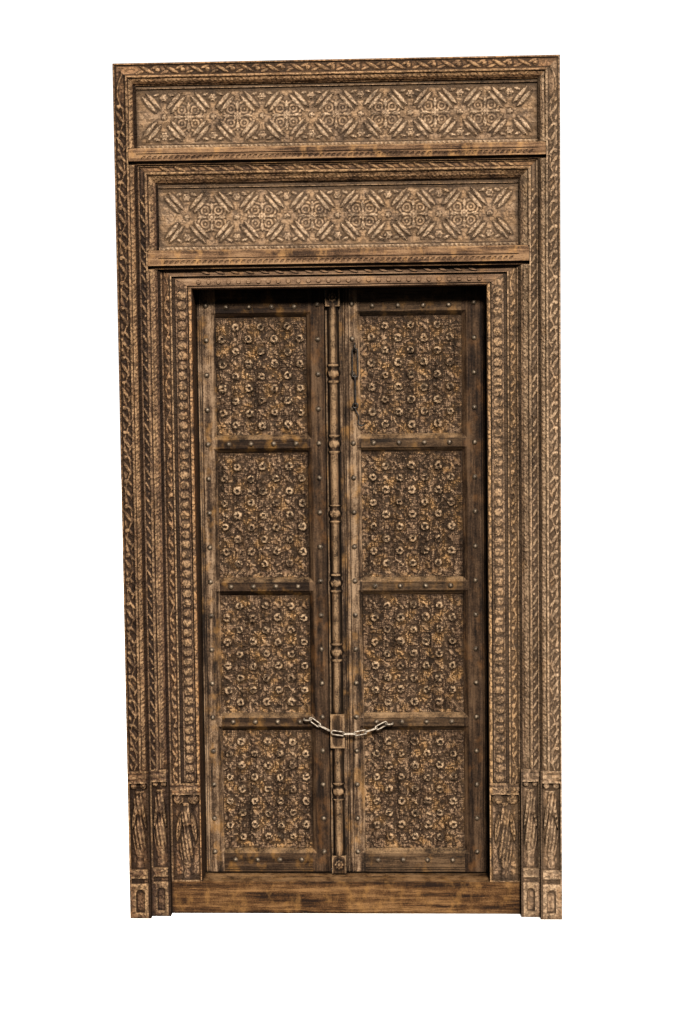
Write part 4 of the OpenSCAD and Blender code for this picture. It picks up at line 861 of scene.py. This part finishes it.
# The astragal is a half-round turned batten nailed to the right leaf, and it covers the joint of the leaves.
# Petals are cut round its knops, between pairs of rings, and three square blocks are left along it.
astragal_low, astragal_high = corners("astragal")
half = (astragal_high[0] - astragal_low[0]) / 2
shaft_r = 0.0164
knop_r = 0.0195
ring_r = 0.003
knops = (0.326, 0.721, 0.915, 1.109, 1.303, 1.497)
block_h = 0.050
block_flower_r = 0.015
block_relief = 0.003
turn_lines = 37
turned_step = 0.003
turned_hand_cut = 0.0002
turning_sharp = 48
edges = (astragal_low[2] + block_h, 0.451, 0.547, astragal_high[2] - block_h)
astragal_timber = aged_wood("astragal_timber", (0.008, 0.005, 0.003), (0.042, 0.025, 0.014),
                            (0.125, 0.078, 0.045), (0.22, 0.12, 0.05), patchy=0.3,
                            rubbed=(0.27, 0.178, 0.103), rub_and_highlight_share=0.75, crevice_shade_share=0.85, spread=0.075)
turn, z = np.meshgrid(np.linspace(0, math.pi, turn_lines),
                      grid_lines(astragal_low[2], astragal_high[2], turned_step, edges), indexing="ij")
round_r = np.full_like(z, shaft_r)
for knop_z in knops:
    up = z - knop_z
    swell = np.sqrt(np.clip(1 - (up / knop_r) ** 2, 0, 1))
    petals = 1 - 0.08 * np.abs(np.sin(4 * turn + up * 90)) * swell
    round_r = np.where(np.abs(up) < knop_r, np.maximum(shaft_r * 0.8, knop_r * swell * petals), round_r)
    for ring in (-1, 1):
        off = (up - ring * (knop_r + ring_r)) / ring_r
        round_r = np.maximum(round_r, shaft_r - 0.001 + ring_r * np.sqrt(np.clip(1 - off ** 2, 0, 1)))
square_r = half / np.maximum(np.abs(np.cos(turn)), np.abs(np.sin(turn)))
blocks = (z < edges[0]) | ((z > edges[1]) & (z < edges[2])) | (z > edges[3])
radius = np.where(blocks, square_r, round_r + turned_hand_cut * hand_wander(turn, z))
block_x = radius * np.cos(turn)
block_middles = (astragal_low[2] + block_h / 2, astragal_high[2] - block_h / 2)
bloom = sum(flower(block_x, z - middle, block_flower_r, 8) for middle in block_middles)
sinking = block_relief * (np.abs(np.cos(turn)) < 0.65) * (bloom > 0) * (1 - bloom)
radius = np.where(blocks & (np.abs(block_x) < half * 0.9), radius - sinking, radius)
x = (astragal_low[0] + astragal_high[0]) / 2 - radius * np.cos(turn)
y = astragal_high[1] - radius * np.sin(turn)
number = np.arange(x.size).reshape(x.shape)
back = np.stack([number[0, :-1], number[0, 1:], number[-1, 1:], number[-1, :-1]], axis=-1)
ends = [number[::-1, 0].tolist(), number[:, -1].tolist()]
mesh = bpy.data.meshes.new("carved_astragal")
mesh.from_pydata(np.stack([x, y, z], axis=-1).reshape(-1, 3).tolist(), [],
                 grid_quads(number).tolist() + back.tolist() + ends)
# A painted highlight runs down the middle of the half-round and painted shade along its sides; the blocks are
# made a little paler
rub_and_painted_light = np.where(blocks, 0.2, 2.6 * np.sin(turn) ** 2 - 1.9)
mark_points(mesh, "proud", np.clip(standing_proud(-radius) + rub_and_painted_light, -1, 1).reshape(-1))
astragal = smooth_object("carved_astragal", mesh, turning_sharp)
mesh.materials.append(astragal_timber)
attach(astragal, "right_leaf")
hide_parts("astragal")


# The hasp hangs from a staple on the right leaf: a long two-bar link, a second link and an S hook,
# all bent from round bar by a smith. The chain lower down once tied the two leaves together.
hasp_iron = forged_iron("hasp_iron", (0.008, 0.006, 0.005), (0.050, 0.041, 0.034), 0.40)
chain_iron = forged_iron("chain_iron", (0.12, 0.095, 0.072), (0.42, 0.36, 0.29), 0.45)
for node in ("hasp_staple", "hasp_long_link", "hasp_second_link", "hasp_hook"):
    finish_iron(node, hasp_iron)
for node in ("chain_staple_left", "chain_staple_right", "chain_links_left", "chain_links_right"):
    finish_iron(node, chain_iron)


# The studio: a pale floor that runs into a white backdrop, a key light from above in front, a soft fill
# from the right, a soft light for the back, and pale light from above.
bpy.ops.mesh.primitive_plane_add(size=40, location=(0, 0, 0))
floor = bpy.context.object
floor.name = "floor"
pale = bpy.data.materials.new("pale_floor")
pale.use_nodes = True
pale.node_tree.nodes["Principled BSDF"].inputs["Base Color"].default_value = (0.93, 0.93, 0.93, 1)
pale.node_tree.nodes["Principled BSDF"].inputs["Roughness"].default_value = 0.9
floor.data.materials.append(pale)
floor.visible_diffuse = False
floor.visible_glossy = False
world = bpy.data.worlds.new("studio")
bpy.context.scene.world = world
world.use_nodes = True
nodes, links = world.node_tree.nodes, world.node_tree.links
sky = nodes["Background"]
sky.inputs["Color"].default_value = (1, 1, 1, 1)
height = nodes.new("ShaderNodeSeparateXYZ")
dimming = nodes.new("ShaderNodeMapRange")
for socket, value in (("From Min", -0.3), ("From Max", 0.6), ("To Min", 0.05), ("To Max", 0.4)):
    dimming.inputs[socket].default_value = value
aim = nodes.new("ShaderNodeTexCoord")
links.new(aim.outputs["Generated"], height.inputs["Vector"])
links.new(height.outputs["Z"], dimming.inputs["Value"])
links.new(dimming.outputs["Result"], sky.inputs["Strength"])
backdrop = nodes.new("ShaderNodeBackground")
backdrop.inputs["Color"].default_value = (1, 1, 1, 1)
seen = nodes.new("ShaderNodeLightPath")
either = nodes.new("ShaderNodeMixShader")
links.new(seen.outputs["Is Camera Ray"], either.inputs["Fac"])
links.new(sky.outputs["Background"], either.inputs[1])
links.new(backdrop.outputs["Background"], either.inputs[2])
links.new(either.outputs["Shader"], nodes["World Output"].inputs["Surface"])
bpy.context.scene.view_settings.view_transform = "Standard"
bpy.context.scene.view_settings.look = "Medium High Contrast"
for name, energy, colour, softness, direction in (
        ("key", 6.7, (1, 0.955, 0.885), 9, (-0.11, 0.87, -0.47)),
        ("fill", 1.7, (1, 0.95, 0.88), 30, (-0.75, 0.45, -0.48)),
        ("back", 3.4, (1, 0.95, 0.88), 40, (0.30, -0.78, -0.55))):
    lamp = bpy.data.lights.new(name, "SUN")
    lamp.energy = energy
    lamp.color = colour
    lamp.angle = math.radians(softness)
    light = bpy.data.objects.new(name, lamp)
    light.rotation_euler = Vector(direction).to_track_quat("-Z", "Y").to_euler()
    bpy.context.scene.collection.objects.link(light)


# The camera stands a little right of the middle, five metres out, at the height of a standing person.
# It looks slightly down and to the left, as in the photo.
camera_x, camera_y, camera_z = 0.253, -5.153, 1.526
yaw, pitch, roll = math.radians(-2.84), math.radians(-4.54), math.radians(-0.68)
ahead = Vector((math.sin(yaw) * math.cos(pitch), math.cos(yaw) * math.cos(pitch), math.sin(pitch)))
level = Vector((math.cos(yaw), -math.sin(yaw), 0))
upward = level.cross(ahead)
right = math.cos(roll) * level + math.sin(roll) * upward
over = -math.sin(roll) * level + math.cos(roll) * upward
lens = bpy.data.cameras.new("camera")
lens.sensor_width = 36
lens.lens = 66.02
camera = bpy.data.objects.new("camera", lens)
camera.matrix_world = Matrix((
    (right.x, over.x, -ahead.x, camera_x),
    (right.y, over.y, -ahead.y, camera_y),
    (right.z, over.z, -ahead.z, camera_z),
    (0, 0, 0, 1)))
bpy.context.scene.collection.objects.link(camera)
bpy.context.scene.camera = camera
